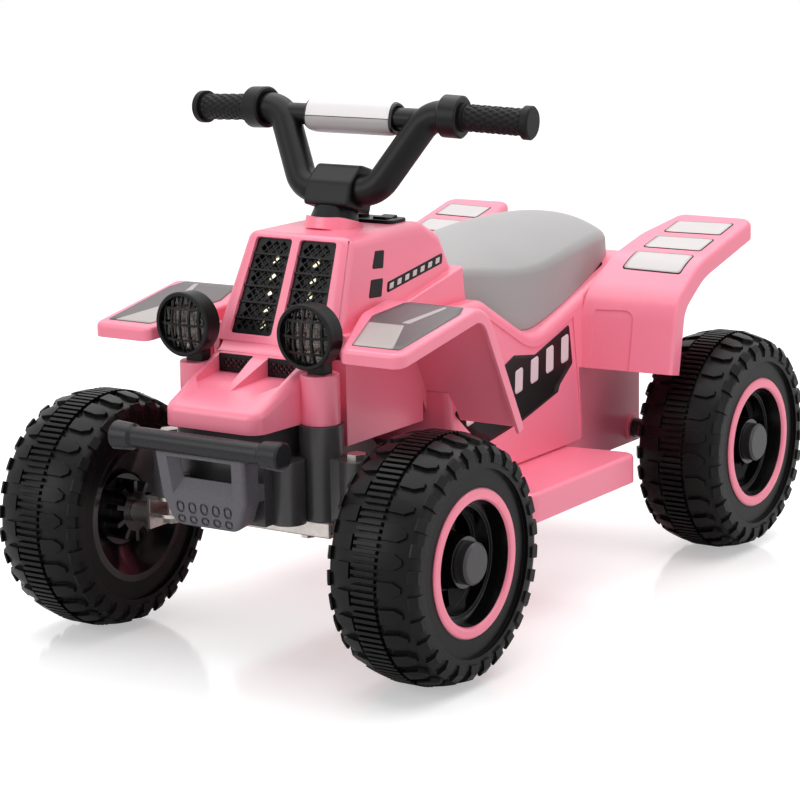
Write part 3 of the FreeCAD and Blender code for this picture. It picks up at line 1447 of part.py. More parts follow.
def scoop_grilles():
    """Net panels standing at the back of the intakes."""
    low = NOSE_REAR_Z - SCOOP_DROP + FIT
    y = NOSE_REAR - FIT
    outer = on_front([
        (SCOOP_INNER + FIT, low),
        (SCOOP_OUTER - FIT, low),
        (SCOOP_OUTER - FIT, NOSE_REAR_Z),
        (SCOOP_INNER + FIT, NOSE_REAR_Z),
    ], y)
    inner = on_front([
        (SCOOP_INNER + GRILLE_RIM, low + GRILLE_RIM),
        (SCOOP_OUTER - GRILLE_RIM, low + GRILLE_RIM),
        (SCOOP_OUTER - GRILLE_RIM, NOSE_REAR_Z - GRILLE_RIM),
        (SCOOP_INNER + GRILLE_RIM, NOSE_REAR_Z - GRILLE_RIM),
    ], y)
    pitch = GRILLE_PITCH * 2 / 3
    return both_sides(lattice(inner, outer, pitch, GRILLE_BAR, Vec(0, -1, 0), GRILLE_THICK))


def lamp_placed(shape):
    """A lamp piece turned to face forwards at the left lamp's place."""
    copy = shape.copy()
    copy.Placement = FreeCAD.Placement(
        Vec(LAMP_X, LAMP_Y, LAMP_Z),
        FreeCAD.Rotation(X_AXIS, Vec(0, -1, 0)),
    )
    return copy


def lamp_housing():
    """Round lamp bowl on a short square stalk."""
    front = LAMP_Y - LAMP_FRONT
    back = LAMP_Y - LAMP_BACK
    waist = (front + back) / 3
    bowl = turned([
        (back, 0),
        (back, LAMP_BACK_RADIUS),
        (waist, LAMP_RADIUS),
        (front, LAMP_RADIUS),
        (front, 0),
    ])
    inner = turned([
        (back + LAMP_WALL, 0),
        (back + LAMP_WALL, LAMP_BACK_RADIUS - LAMP_WALL),
        (waist, LAMP_RADIUS - LAMP_WALL),
        (front + OVERRUN, LAMP_RADIUS - LAMP_WALL),
        (front + OVERRUN, 0),
    ])
    foot = Vec(LAMP_X, LAMP_Y, LAMP_POST_TOP)
    half, deep = STALK_WIDTH / 2, STALK_DEPTH / 2
    plan = [
        (foot.x - half, foot.y - deep),
        (foot.x + half, foot.y - deep),
        (foot.x + half, foot.y + deep),
        (foot.x - half, foot.y + deep),
    ]
    stalk = upward(plan, STALK_ROUND, foot.z, LAMP_Z - LAMP_BACK_RADIUS)
    return fused(lamp_placed(bowl), stalk).cut(lamp_placed(inner))


def lamp_reflector():
    """Bowl-shaped reflector that follows the inside of the lamp."""
    front = LAMP_Y - LAMP_FRONT - 2 * LENS_THICK
    back = LAMP_Y - LAMP_BACK + LAMP_WALL + FIT
    waist = (LAMP_Y - LAMP_FRONT + LAMP_Y - LAMP_BACK) / 3
    rim = LAMP_RADIUS - LAMP_WALL - FIT
    deep = LAMP_BACK_RADIUS - LAMP_WALL - FIT
    skin = LENS_THICK / 2
    return lamp_placed(turned([
        (back, BULB_RADIUS / 2),
        (back, deep - skin),
        (waist, rim),
        (front, rim),
        (front, rim - skin),
        (waist + skin, rim - skin),
        (back + skin, deep - 2 * skin),
        (back + skin, BULB_RADIUS / 2),
    ]))


def lamp_bulb():
    """Small bulb on a stem through the reflector."""
    back = LAMP_Y - LAMP_BACK + LAMP_WALL
    stem = rod(Vec(back, 0, 0), Vec(back + 2 * BULB_RADIUS, 0, 0), BULB_RADIUS / 2 - RUN)
    ball = Part.makeSphere(BULB_RADIUS, Vec(back + 2 * BULB_RADIUS, 0, 0))
    return lamp_placed(fused(stem, ball))


def lamp_lens():
    """Clear disc at the mouth of the lamp."""
    front = LAMP_Y - LAMP_FRONT
    return lamp_placed(rod(
        Vec(front - 2 * LENS_THICK, 0, 0),
        Vec(front - LENS_THICK, 0, 0),
        LAMP_RADIUS - LAMP_WALL,
    ))


def lamp_guard():
    """Domed guard of upright and level bars in a hood ring."""
    front = LAMP_Y - LAMP_FRONT
    base = LAMP_RADIUS
    ring = turned([
        (front, LAMP_RADIUS - LAMP_WALL),
        (front, LAMP_RADIUS + GUARD_BAR),
        (front + GUARD_HOOD - GUARD_BAR, LAMP_RADIUS + GUARD_BAR),
        (front + GUARD_HOOD, LAMP_RADIUS),
        (front + GUARD_HOOD, LAMP_RADIUS - LAMP_WALL),
    ])
    dome_radius = (base * base + GUARD_PROUD * GUARD_PROUD) / (2 * GUARD_PROUD)
    centre = Vec(front + GUARD_PROUD + GUARD_BAR - dome_radius, 0, 0)
    dome = Part.makeSphere(dome_radius, centre).cut(Part.makeSphere(dome_radius - 2 * GUARD_BAR, centre))
    dome = dome.common(rod(Vec(front, 0, 0), Vec(front + dome_radius, 0, 0), LAMP_RADIUS - LAMP_WALL / 2))
    slabs = []
    step = 2 * LAMP_RADIUS / (GUARD_BARS + 1)
    for i in range(GUARD_BARS):
        y = (i - (GUARD_BARS - 1) / 2) * step
        slabs.append(block(
            Vec(0, y - GUARD_BAR, -LAMP_RADIUS), Vec(2 * LAMP_RADIUS, y + GUARD_BAR, LAMP_RADIUS)))
    step = 2 * LAMP_RADIUS / (GUARD_LEVELS + 1)
    for i in range(GUARD_LEVELS):
        z = (i - (GUARD_LEVELS - 1) / 2) * step
        slabs.append(block(
            Vec(0, -LAMP_RADIUS, z - GUARD_BAR), Vec(2 * LAMP_RADIUS, LAMP_RADIUS, z + GUARD_BAR)))
    bars = dome.common(fused(*slabs))
    return lamp_placed(fused(ring, bars))


# Bumper


def plate_point(x, down, depth=0):
    """Point on the bumper plate: across, down its slope from the bar, and behind it."""
    slope = Vec(0, PLATE_LOW_Y - BUMPER_Y, PLATE_LOW_Z - BUMPER_Z).normalize()
    inward = Vec(0, -slope.z, slope.y)
    return Vec(x, BUMPER_Y, BUMPER_Z) + slope * down + inward * depth


def on_plate(points, depth):
    """Points given across and down the plate, at a depth behind its face."""
    return [plate_point(x, down, depth - PLATE_AHEAD) for x, down in points]


def plate_funnel(grow, start, end):
    """Tapered space of the plate's window, grown by a margin, between two depths."""
    wires = []
    for depth in (start, end):
        share = depth / PLATE_WINDOW_DEPTH
        half = PLATE_WINDOW_HALF - PLATE_JAMB * share + grow
        top = PLATE_WINDOW_TOP - grow
        low = PLATE_WINDOW_LOW - PLATE_SILL * share + grow
        taper = PLATE_WINDOW_TAPER
        corners = [(-half, top), (half, top), (half - taper, low), (-half + taper, low)]
        wires.append(outline(on_plate(corners, depth)))
    return Part.makeLoft(wires, True, True)


def dimple(x, down, height):
    """Oblong groove round a low boss on the plate."""
    inward = plate_point(0, 0, DIMPLE_DEPTH + FIT) - plate_point(0, 0)
    shapes = []
    for groove in (0, DIMPLE_GROOVE):
        half = DIMPLE_WIDTH / 2 - groove
        tall = height / 2 - groove
        corners = [
            (x - half, down - tall),
            (x + half, down - tall),
            (x + half, down + tall),
            (x - half, down + tall),
        ]
        rounded = min(half, tall) - RUN
        shapes.append(prism(on_plate(corners, -FIT), rounded, inward))
    return shapes[0].cut(shapes[1])


def bumper_plate():
    """Tray-shaped plate below the bar: rounded front edge, bevelled window and two rows of dimples."""
    length = (plate_point(0, 0) - Vec(0, PLATE_LOW_Y, PLATE_LOW_Z)).Length
    inward = plate_point(0, 0, PLATE_DEPTH) - plate_point(0, 0)
    shape = [
        (-PLATE_TOP_HALF, 0),
        (PLATE_TOP_HALF, 0),
        (PLATE_MID_HALF, PLATE_MID_DOWN),
        (PLATE_LOW_HALF, length),
        (-PLATE_LOW_HALF, length),
        (-PLATE_MID_HALF, PLATE_MID_DOWN),
    ]
    radii = [0, 0, PLATE_CORNER, PLATE_CORNER, PLATE_CORNER, PLATE_CORNER]
    tray = prism(on_plate(shape, 0), radii, inward)
    face = plate_point(0, 0, -PLATE_AHEAD)
    rim = edges_where(tray, lambda p: abs((p - face).dot(inward)) < FIT and p.z < BUMPER_Z - FIT)
    tray = tray.makeFillet(PLATE_ROUND, rim)
    inner = [0, 0] + [PLATE_CORNER - WALL] * (len(radii) - 2)
    hollow = prism(on_plate(inset(shape, WALL), WALL), inner, inward)
    sill = plate_funnel(WALL / 2, WALL / 2, PLATE_WINDOW_DEPTH)
    grooves = []
    for down, height in zip(DIMPLE_DOWNS, DIMPLE_HEIGHTS):
        for i in range(DIMPLE_COUNT):
            grooves.append(dimple((i - (DIMPLE_COUNT - 1) / 2) * DIMPLE_PITCH, down, height))
    window = plate_funnel(0, -OVERRUN, PLATE_WINDOW_DEPTH + WALL)
    return fused(tray.cut(hollow), sill).cut([window] + grooves)


def front_bumper():
    """Bar with thick tapered ends on a tray-shaped plate."""
    end = BUMPER_HALF + BUMPER_END
    bar = turned([
        (-end, 0),
        (-end, BUMPER_END_RADIUS - WALL / 2),
        (-end + WALL / 2, BUMPER_END_RADIUS),
        (-BUMPER_HALF - WALL, BUMPER_END_RADIUS - WALL / 3),
        (-BUMPER_HALF, BUMPER_RADIUS),
        (BUMPER_HALF, BUMPER_RADIUS),
        (BUMPER_HALF + WALL, BUMPER_END_RADIUS - WALL / 3),
        (end - WALL / 2, BUMPER_END_RADIUS),
        (end, BUMPER_END_RADIUS - WALL / 2),
        (end, 0),
    ])
    bar.translate(Vec(0, BUMPER_Y, BUMPER_Z))
    reach = []
    for sign in (1, -1):
        low = plate_point(0, PLATE_MID_DOWN, WALL / 2 - PLATE_AHEAD)
        x = sorted((sign * (PLATE_MID_HALF - 3 * WALL), sign * (PLATE_MID_HALF - WALL / 2)))
        reach.append(block(
            Vec(x[0], low.y, low.z),
            Vec(x[1], HOUSING_FRONT - FIT, low.z + PLATE_CORNER),
        ))
    return fused(bar, bumper_plate(), *reach)


# Main body


def rim_line():
    """Seat rim in side view, from the cowl down to the dip and up to the deck."""
    return [
        (COWL_REAR + FIT, RIM_FRONT_Z),
        (RIM_DIP_Y, RIM_DIP_Z),
        (RIM_REAR_Y, RIM_REAR_Z),
    ]


def body_half(z):
    """Half width of the main body at a height."""
    share = (z - BODY_BOTTOM) / (RIM_REAR_Z - BODY_BOTTOM)
    return BODY_LOW_HALF + (BODY_TOP_HALF - BODY_LOW_HALF) * share


def body_front(inside, low, high):
    """Front view of the main body, with leaning sides."""
    return [
        (-body_half(low) + inside, low),
        (body_half(low) - inside, low),
        (body_half(high) - inside, high),
        (-body_half(high) + inside, high),
    ]


def cowl_pocket(inside):
    """Space between the body's shoulders where the cowl's rear sits."""
    half = BOX_HALF + FIT + inside
    return block(
        Vec(-half, BODY_FRONT - OVERRUN, BODY_UNDER_COWL - inside),
        Vec(half, COWL_REAR + FIT + inside, COWL_TOP),
    )


def body_solid(inside):
    """Main body form: its side outline crossed with leaning sides."""
    rim = rim_line()
    low = BODY_BOTTOM
    step = WALL
    side = [
        (BODY_FRONT, low),
        (BODY_FRONT, RIM_FRONT_Z),
        rim[0],
        rim[1],
        rim[2],
        (BODY_REAR - 2 * BODY_ROUND, RIM_REAR_Z),
        (BODY_REAR, BODY_REAR_Z),
        (SIDE_BACK + step, BODY_REAR_Z),
        (SIDE_BACK, low),
    ]
    radii = [0, BODY_ROUND, 2 * BODY_ROUND, RIM_DIP_ROUND, RIM_DIP_ROUND, 2 * BODY_ROUND, 0, 0, 0]
    if inside:
        side = inset(side, inside)
        low -= OVERRUN
        side[0] = (side[0][0], low)
        side[-1] = (side[-1][0], low)
        side[-3] = (side[-3][0], BODY_REAR_Z - OVERRUN)
        side[-2] = (SIDE_BACK + 2 * inside, BODY_REAR_Z - OVERRUN)
        side.insert(-1, (SIDE_BACK + 2 * inside, BODY_REAR_Z + inside))
        side.insert(-1, (SIDE_BACK - inside, BODY_REAR_Z + inside))
        radii = [0, 0, 0, RIM_DIP_ROUND, RIM_DIP_ROUND, 0, 0, 0, 0, 0, 0]
    widest = body_half(low)
    solid = across(side, radii, -widest, widest)
    front = body_front(inside, low, RIM_REAR_Z + OVERRUN)
    solid = solid.common(along(front, 0, BODY_FRONT - OVERRUN, BODY_REAR + OVERRUN))
    if inside:
        return solid.cut(cowl_pocket(inside))

    def on_rim(point):
        wall = abs(point.x) > body_half(point.z) - FIT - BODY_ROUND / 4
        return wall and point.z > BODY_REAR_Z and not (
            point.y < SIDE_BACK and point.z < RIM_DIP_Z - FIT)

    return solid.makeFillet(BODY_ROUND, edges_where(solid, on_rim)).cut(cowl_pocket(0))


def arch_path(inner):
    """Side view of the rear mudguard's upper face, at its inner or outer edge."""
    if inner:
        return [
            (ARCH_FOOT_Y - ARCH_INNER_AHEAD, ARCH_FOOT_Z + ARCH_INNER_LIFT),
            (ARCH_KNEE_Y - ARCH_INNER_AHEAD, ARCH_KNEE_Z + ARCH_INNER_LIFT),
            (ARCH_BEND_Y - ARCH_INNER_AHEAD / 2, ARCH_BEND_Z + ARCH_INNER_LIFT),
            (ARCH_TAIL_Y, ARCH_TAIL_Z + ARCH_INNER_LIFT),
        ]
    return [
        (ARCH_FOOT_Y, ARCH_FOOT_Z),
        (ARCH_KNEE_Y, ARCH_KNEE_Z),
        (ARCH_BEND_Y, ARCH_BEND_Z),
        (ARCH_TAIL_Y, ARCH_TAIL_Z),
    ]


def stretched(path, start, end):
    """Open path with its first and last runs lengthened."""
    first, second = path[0], path[1]
    last, previous = path[-1], path[-2]
    run = math.hypot(first[0] - second[0], first[1] - second[1])
    end_run = math.hypot(last[0] - previous[0], last[1] - previous[1])
    head = tuple(first[k] + (first[k] - second[k]) * start / run for k in range(2))
    tail = tuple(last[k] + (last[k] - previous[k]) * end / end_run for k in range(2))
    return [head] + list(path[1:-1]) + [tail]


def arch_band(top, bottom, start, end):
    """Solid between two curves beside the mudguard's face, from inner to outer edge."""
    wires = []
    for inner, x in ((True, ARCH_INNER), (False, ARCH_OUTER)):
        path = stretched(arch_path(inner), start, end)
        upper = beside(path, -top) if top else path
        lower = beside(path, -bottom)
        radii = [0, ARCH_KNEE_ROUND - top, ARCH_BEND_ROUND - top, 0]
        radii += [0, ARCH_BEND_ROUND - bottom, ARCH_KNEE_ROUND - bottom, 0]
        wires.append(outline(on_side(upper + lower[::-1], x), radii))
    return Part.makeLoft(wires, True, True)


def rear_guard():
    """Left rear mudguard: a sheet swept up over the wheel, with a deep lip."""
    plan = [
        (ARCH_INNER, ARCH_FOOT_Y - 2 * ARCH_INNER_AHEAD),
        (ARCH_OUTER, ARCH_FOOT_Y - 2 * ARCH_INNER_AHEAD),
        (ARCH_OUTER, ARCH_TAIL_Y),
        (ARCH_TAIL_INNER, ARCH_TAIL_INNER_Y),
        (ARCH_INNER, BODY_REAR - BODY_ROUND),
    ]
    low = ARCH_FOOT_Z - 4 * OVERRUN
    high = ARCH_TAIL_Z + 4 * OVERRUN
    corners = [0, 0, ARCH_CORNER, ARCH_CORNER, 0]
    cap = arch_band(0, ARCH_LIP, 0, 2 * OVERRUN).common(upward(plan, corners, low, high))
    inner = inset(plan, WALL)
    inner[0] = (inner[0][0], plan[0][1])
    inner[1] = (inner[1][0], plan[1][1])
    hollow = arch_band(WALL, ARCH_LIP + OVERRUN, 2 * OVERRUN, 3 * OVERRUN)
    hollow = hollow.common(upward(inner, [0, 0, ARCH_CORNER - WALL, ARCH_CORNER - WALL, 0], low, high))
    face = arch_band(-FIT / 4, FIT / 4, 0, 2 * OVERRUN)
    border = outline(on_plan(plan), corners)

    def on_rim(point):
        beside_plan = Part.Vertex(Vec(point.x, point.y, 0)).distToShape(border)[0]
        inside_edge = point.x < ARCH_INNER + FIT
        return beside_plan < FIT and not inside_edge and face.isInside(point, RUN, True)

    return cap.makeFillet(ARCH_ROUND, edges_where(cap, on_rim)).cut(hollow)


def cheek():
    """Wall between the deck and the inner edge of the rear mudguard."""
    path = arch_path(True)
    lower = beside(path, -ARCH_LIP / 2)
    points = [lower[1], lower[2], (BODY_REAR - BODY_ROUND, lower[3][1] - ARCH_LIP)]
    points += [(BODY_REAR - BODY_ROUND, BODY_REAR_Z + WALL), (lower[1][0], BODY_REAR_Z + WALL)]
    return across(points, 0, ARCH_INNER, ARCH_INNER + WALL)


def side_recess():
    """Shallow step below the seat rim, so that the rim stands proud of the left side panel."""
    lip = beside(rim_line(), -SEAT_LIP)
    low = BODY_BOTTOM - OVERRUN
    region = [(BODY_FRONT - OVERRUN, low), (BODY_FRONT - OVERRUN, lip[0][1])] + lip[:2]
    share = (SIDE_BACK - lip[1][0]) / (lip[2][0] - lip[1][0])
    region.append((SIDE_BACK, lip[1][1] + (lip[2][1] - lip[1][1]) * share))
    region.append((SIDE_BACK, low))
    slab = across(region, [0, 0, 0, RIM_DIP_ROUND, 0, 0], 0, BODY_LOW_HALF + OVERRUN)
    core = along(body_front(PANEL_RECESS, low, RIM_REAR_Z), 0, BODY_FRONT - 2 * OVERRUN, BODY_REAR)
    return slab.cut(core)


def guard_recess():
    """Shallow panel on the front skirt of the left rear mudguard, open at its foot."""
    low = ARCH_FOOT_Z - 2 * OVERRUN
    region = [
        (ARCH_PANEL_INNER, low),
        (ARCH_PANEL_OUTER, low),
        (ARCH_PANEL_OUTER, ARCH_PANEL_TOP),
        (ARCH_PANEL_INNER, ARCH_PANEL_TOP),
    ]
    layer = arch_band(-FIT, PANEL_RECESS, OVERRUN, 0)
    return layer.common(along(region, [0, 0, ARCH_PANEL_CORNER, 0], SIDE_BACK, ARCH_BEND_Y))


def body_shell():
    """Side panels, seat rim, rear deck and rear mudguards as one moulding."""
    guard = fused(rear_guard().cut(guard_recess()), cheek())
    recess = side_recess()
    shell = fused(body_solid(0).cut([recess, mirrored(recess)]), guard, mirrored(guard))
    well = [
        (-BODY_TOP_HALF + SEAT_LEDGE, COWL_REAR + SEAT_LEDGE),
        (BODY_TOP_HALF - SEAT_LEDGE, COWL_REAR + SEAT_LEDGE),
        (BODY_TOP_HALF - SEAT_LEDGE, RIM_REAR_Y - SEAT_LEDGE),
        (-BODY_TOP_HALF + SEAT_LEDGE, RIM_REAR_Y - SEAT_LEDGE),
    ]
    well = upward(well, SEAT_LEDGE, RIM_DIP_Z - 2 * SEAT_LEDGE, SEAT_CROWN)
    hole = rod(Vec(-SOCKET_LENGTH, 0, 0), Vec(SOCKET_LENGTH, 0, 0), SOCKET_RADIUS + RUN)
    return shell.cut([body_solid(WALL), well, socket_placed(hole)])


def seat_loft(inside):
    """Saddle form: a smooth loft through crowned sections."""
    wires = []
    low = SEAT_CROWN - SEAT_SKIRT - (OVERRUN if inside else 0)
    for share, half, drop, crease in zip(
            SEAT_STATION_SHARES, SEAT_HALF_SHARES, SEAT_CROWN_DROP_SHARES, SEAT_CREASE_SHARES):
        y = SEAT_FRONT + inside + (SEAT_BACK - SEAT_FRONT - 2 * inside) * share
        width = SEAT_HALF * half - inside
        top = SEAT_CROWN - SEAT_CROWN_DROP * drop - inside
        edge = top - SEAT_CREASE_DROP * crease
        corners = on_front([(-width, low), (width, low), (width - SEAT_SIDE_FLARE, edge)], y)
        corners += on_front([(0, top), (-width + SEAT_SIDE_FLARE, edge)], y)
        wires.append(Part.Wire([
            Part.LineSegment(corners[0], corners[1]).toShape(),
            Part.LineSegment(corners[1], corners[2]).toShape(),
            Part.Arc(corners[2], corners[3], corners[4]).toShape(),
            Part.LineSegment(corners[4], corners[0]).toShape(),
        ]))
    return Part.makeLoft(wires, True, False)


def seat():
    """Moulded saddle, open below, resting on the body's rim and deck."""
    solid = seat_loft(0)
    bottom = SEAT_CROWN - SEAT_SKIRT

    def on_crease(point):
        return point.z > bottom + FIT and SEAT_FRONT + FIT < point.y < SEAT_BACK - FIT

    def on_back(point):
        return point.z > bottom + FIT and point.y > SEAT_BACK - FIT

    solid = solid.makeFillet(SEAT_ROUND, edges_where(solid, on_crease))
    solid = solid.makeFillet(SEAT_BACK_ROUND, edges_where(solid, on_back))
    rim = [(y, z + FIT) for y, z in rim_line()]
    low = bottom - SEAT_SKIRT
    below = [(BODY_FRONT, low), (BODY_FRONT, rim[0][1])] + rim
    below += [(BODY_REAR, RIM_REAR_Z + FIT), (BODY_REAR, low)]
    ground = across(below, [0, 0, 0, RIM_DIP_ROUND, RIM_DIP_ROUND, 0, 0], -BODY_LOW_HALF, BODY_LOW_HALF)
    return solid.cut([ground, seat_loft(WALL)])


# Lower chassis


def footboard():
    """Left footboard: hollow tray with ribs below."""
    plan = [
        (PAN_HALF - WALL, BOARD_FRONT),
        (BOARD_OUTER, BOARD_FRONT),
        (BOARD_OUTER, BOARD_BACK),
        (PAN_HALF - WALL, BOARD_BACK_INNER),
    ]
    radii = [0, BOARD_CORNER, BOARD_REAR_CORNER, 0]
    solid = upward(plan, radii, BOARD_BOTTOM, BOARD_TOP)
    rounds = edges_where(solid, lambda p: p.z > BOARD_TOP - FIT and p.x > PAN_HALF)
    solid = solid.makeFillet(BOARD_ROUND, rounds)
    inner = inset(plan, WALL)
    radii = [0, BOARD_CORNER - WALL, BOARD_REAR_CORNER - WALL, 0]
    hollow = upward(inner, radii, BOARD_BOTTOM - OVERRUN, BOARD_TOP - WALL)
    ribs = []
    length = BOARD_BACK_INNER - BOARD_FRONT
    for i in range(BOARD_RIBS):
        y = BOARD_FRONT + length * (i + 1) / (BOARD_RIBS + 1)
        ribs.append(block(
            Vec(PAN_HALF - WALL / 2, y - WALL / 2, BOARD_BOTTOM + WALL),
            Vec(BOARD_OUTER - WALL / 2, y + WALL / 2, BOARD_TOP - WALL / 2),
        ))
    return solid.cut(hollow), ribs


def lower_chassis():
    """Floor pan, footboards and rear box as one moulding, with axle bosses."""
    top = BODY_BOTTOM - FIT
    pan = block(Vec(-PAN_HALF, BODY_FRONT, BOARD_BOTTOM), Vec(PAN_HALF, SIDE_BACK, top))
    pan = pan.cut(block(
        Vec(-PAN_HALF + WALL, BODY_FRONT + WALL, BOARD_BOTTOM + WALL),
        Vec(PAN_HALF - WALL, SIDE_BACK - WALL, top + OVERRUN),
    ))
    plan = [
        (-REAR_BOX_HALF, REAR_BOX_FRONT),
        (REAR_BOX_HALF, REAR_BOX_FRONT),
        (REAR_BOX_HALF, REAR_BOX_BACK),
        (-REAR_BOX_HALF, REAR_BOX_BACK),
    ]
    box_top = BODY_REAR_Z - FIT
    corners = [REAR_BOX_ROUND, REAR_BOX_ROUND, REAR_BOX_ROUND, REAR_BOX_ROUND]
    box = upward(plan, corners, REAR_BOX_BOTTOM, box_top)
    box = box.cut(upward(inset(plan, WALL), REAR_BOX_ROUND - WALL, REAR_BOX_BOTTOM + WALL, box_top + OVERRUN))
    neck = block(
        Vec(-REAR_BOX_HALF + REAR_BOX_ROUND, SIDE_BACK - WALL, BOARD_BOTTOM),
        Vec(REAR_BOX_HALF - REAR_BOX_ROUND, REAR_BOX_FRONT + WALL, top),
    )
    board, ribs = footboard()
    right_ribs = [mirrored(rib) for rib in ribs]
    bosses = []
    for sign, radius in ((1, AXLE_BOSS_RADIUS), (-1, COUPLER_RADIUS + WALL)):
        start = Vec(sign * (REAR_BOX_HALF - WALL), REAR_Y, AXLE_Z)
        end = Vec(sign * (REAR_BOX_HALF + WALL), REAR_Y, AXLE_Z)
        bosses.append(rod(start, end, radius).common(block(
            Vec(-BOARD_OUTER, REAR_BOX_FRONT, REAR_BOX_BOTTOM),
            Vec(BOARD_OUTER, REAR_BOX_BACK, BODY_REAR_Z),
        )))
    details = ribs + right_ribs + bosses
    solid = fused(pan, box, neck, board, mirrored(board), *details)
    middle = Vec(0, REAR_Y, AXLE_Z)
    axle = rod(middle, middle + X_AXIS * BOARD_OUTER, AXLE_RADIUS + RUN)
    sleeve = rod(middle, middle - X_AXIS * BOARD_OUTER, COUPLER_RADIUS + RUN)
    x, y = PEDAL_X, PEDAL_HINGE_Y
    ears = []
    for sign in (1, -1):
        ear_x = x + sign * (PEDAL_WIDTH / 2 + FIT + PEDAL_EAR / 2)
        ears.append(block(
            Vec(ear_x - PEDAL_EAR / 2, y - PEDAL_EAR, BOARD_TOP - WALL / 2),
            Vec(ear_x + PEDAL_EAR / 2, y + PEDAL_EAR, pedal_axis_z() + PEDAL_EAR),
        ))
    hinge = Vec(x, y, pedal_axis_z())
    pin = rod(hinge - X_AXIS * PEDAL_WIDTH, hinge + X_AXIS * PEDAL_WIDTH, PEDAL_PIN_RADIUS + RUN)
    return fused(solid, *ears).cut([axle, sleeve, pin])


def pedal_axis_z():
    """Height of the pedal's hinge pin."""
    return BOARD_TOP + PEDAL_HEEL / 2 + PEDAL_LIFT / 2


def pedal():
    """Accelerator pedal: ribbed wedge hinged at its heel."""
    z = pedal_axis_z()
    toe_y = PEDAL_HINGE_Y - PEDAL_LENGTH
    side = [
        (PEDAL_HINGE_Y, z - PEDAL_HEEL / 2 + WALL / 3),
        (PEDAL_HINGE_Y, z + PEDAL_HEEL / 2),
        (toe_y, BOARD_TOP + PEDAL_TOE),
        (toe_y, BOARD_TOP + PEDAL_TOE - WALL),
    ]
    half = PEDAL_WIDTH / 2
    plate = across(side, 0, PEDAL_X - half, PEDAL_X + half)
    hinge = Vec(PEDAL_X, PEDAL_HINGE_Y, z)
    heel = rod(hinge - X_AXIS * half, hinge + X_AXIS * half, PEDAL_HEEL / 2)
    reach = half + FIT + PEDAL_EAR
    pin = rod(hinge - X_AXIS * reach, hinge + X_AXIS * reach, PEDAL_PIN_RADIUS)
    ribs = []
    slope = (PEDAL_TOE - PEDAL_HEEL - PEDAL_LIFT / 2) / PEDAL_LENGTH
    for i in range(PEDAL_RIBS):
        y = toe_y + PEDAL_LENGTH * (i + 1 / 2) / (PEDAL_RIBS + 1)
        top = BOARD_TOP + PEDAL_TOE - (y - toe_y) * slope
        ribs.append(block(
            Vec(PEDAL_X - half + WALL, y - PEDAL_RIB_WIDTH / 2, top - WALL / 2),
            Vec(PEDAL_X + half - WALL, y + PEDAL_RIB_WIDTH / 2, top + PEDAL_RIB_HEIGHT),
        ))
    return fused(plate, heel, pin, *ribs)


# Drive and electrics


def rear_axle():
    """Steel rod through the rear box, on which both rear wheels turn."""
    end = WHEEL_X + AXLE_END
    return rod(Vec(-end, REAR_Y, AXLE_Z), Vec(end, REAR_Y, AXLE_Z), AXLE_RADIUS)


def axle_spacer():
    """Tube that keeps the left rear wheel off the rear box."""
    start = Vec(REAR_BOX_HALF + WALL, REAR_Y, AXLE_Z)
    end = Vec(WHEEL_X - HUB_BACK - FIT, REAR_Y, AXLE_Z)
    return tube(start, end, STUB_COLLAR_RADIUS, AXLE_RADIUS + RUN)


def gearbox():
    """Gear casing round the rear axle, inside the rear box on the right."""
    high = AXLE_Z + GEARBOX_HEIGHT / 2
    low = REAR_BOX_BOTTOM + WALL
    front = REAR_Y - GEARBOX_LENGTH + WALL
    back = REAR_BOX_BACK - 2 * WALL
    side = [(front, low), (front, high), (back, high), (back, low)]
    inner_x = -REAR_BOX_HALF + WALL + OVERRUN
    case = across(side, [WALL, GEARBOX_ROUND, WALL, WALL], inner_x, inner_x + GEARBOX_WIDTH)
    axle = rod(Vec(inner_x - OVERRUN, REAR_Y, AXLE_Z), Vec(0, REAR_Y, AXLE_Z), AXLE_RADIUS + RUN)
    return case.cut(axle)


def motor():
    """Small motor on the inner face of the gear casing."""
    start = -REAR_BOX_HALF + WALL + OVERRUN + GEARBOX_WIDTH
    y = REAR_Y - MOTOR_AHEAD
    body = rod(
        Vec(start, y, AXLE_Z + MOTOR_RADIUS / 2),
        Vec(start + MOTOR_LENGTH, y, AXLE_Z + MOTOR_RADIUS / 2),
        MOTOR_RADIUS,
    )
    tail = rod(
        Vec(start + MOTOR_LENGTH, y, AXLE_Z + MOTOR_RADIUS / 2),
        Vec(start + MOTOR_LENGTH + WALL, y, AXLE_Z + MOTOR_RADIUS / 2),
        MOTOR_RADIUS / 2,
    )
    return fused(body, tail)


def battery():
    """Sealed battery on the floor pan, with two tabs."""
    low = BOARD_BOTTOM + WALL
    half = BATTERY_WIDTH / 2
    case = block(
        Vec(-half, BATTERY_Y - BATTERY_LENGTH / 2, low),
        Vec(half, BATTERY_Y + BATTERY_LENGTH / 2, low + BATTERY_HEIGHT),
    )
    case = case.makeFillet(WALL, edges_where(case, lambda p: abs(p.z - low - BATTERY_HEIGHT / 2) < FIT))
    tabs = []
    for sign in (1, -1):
        y = BATTERY_Y + sign * BATTERY_LENGTH / 3
        tabs.append(block(
            Vec(-WALL, y - WALL / 4, low + BATTERY_HEIGHT - WALL),
            Vec(WALL, y + WALL / 4, low + BATTERY_HEIGHT + 2 * WALL),
        ))
    return fused(case, *tabs)


def control_box():
    """Case of the control circuit on the floor pan."""
    low = BOARD_BOTTOM + WALL
    half = CONTROL_WIDTH / 2
    case = block(
        Vec(-half, CONTROL_Y - CONTROL_LENGTH / 2, low),
        Vec(half, CONTROL_Y + CONTROL_LENGTH / 2, low + CONTROL_HEIGHT),
    )
    return case.makeFillet(WALL, edges_where(case, lambda p: p.z > low + FIT))


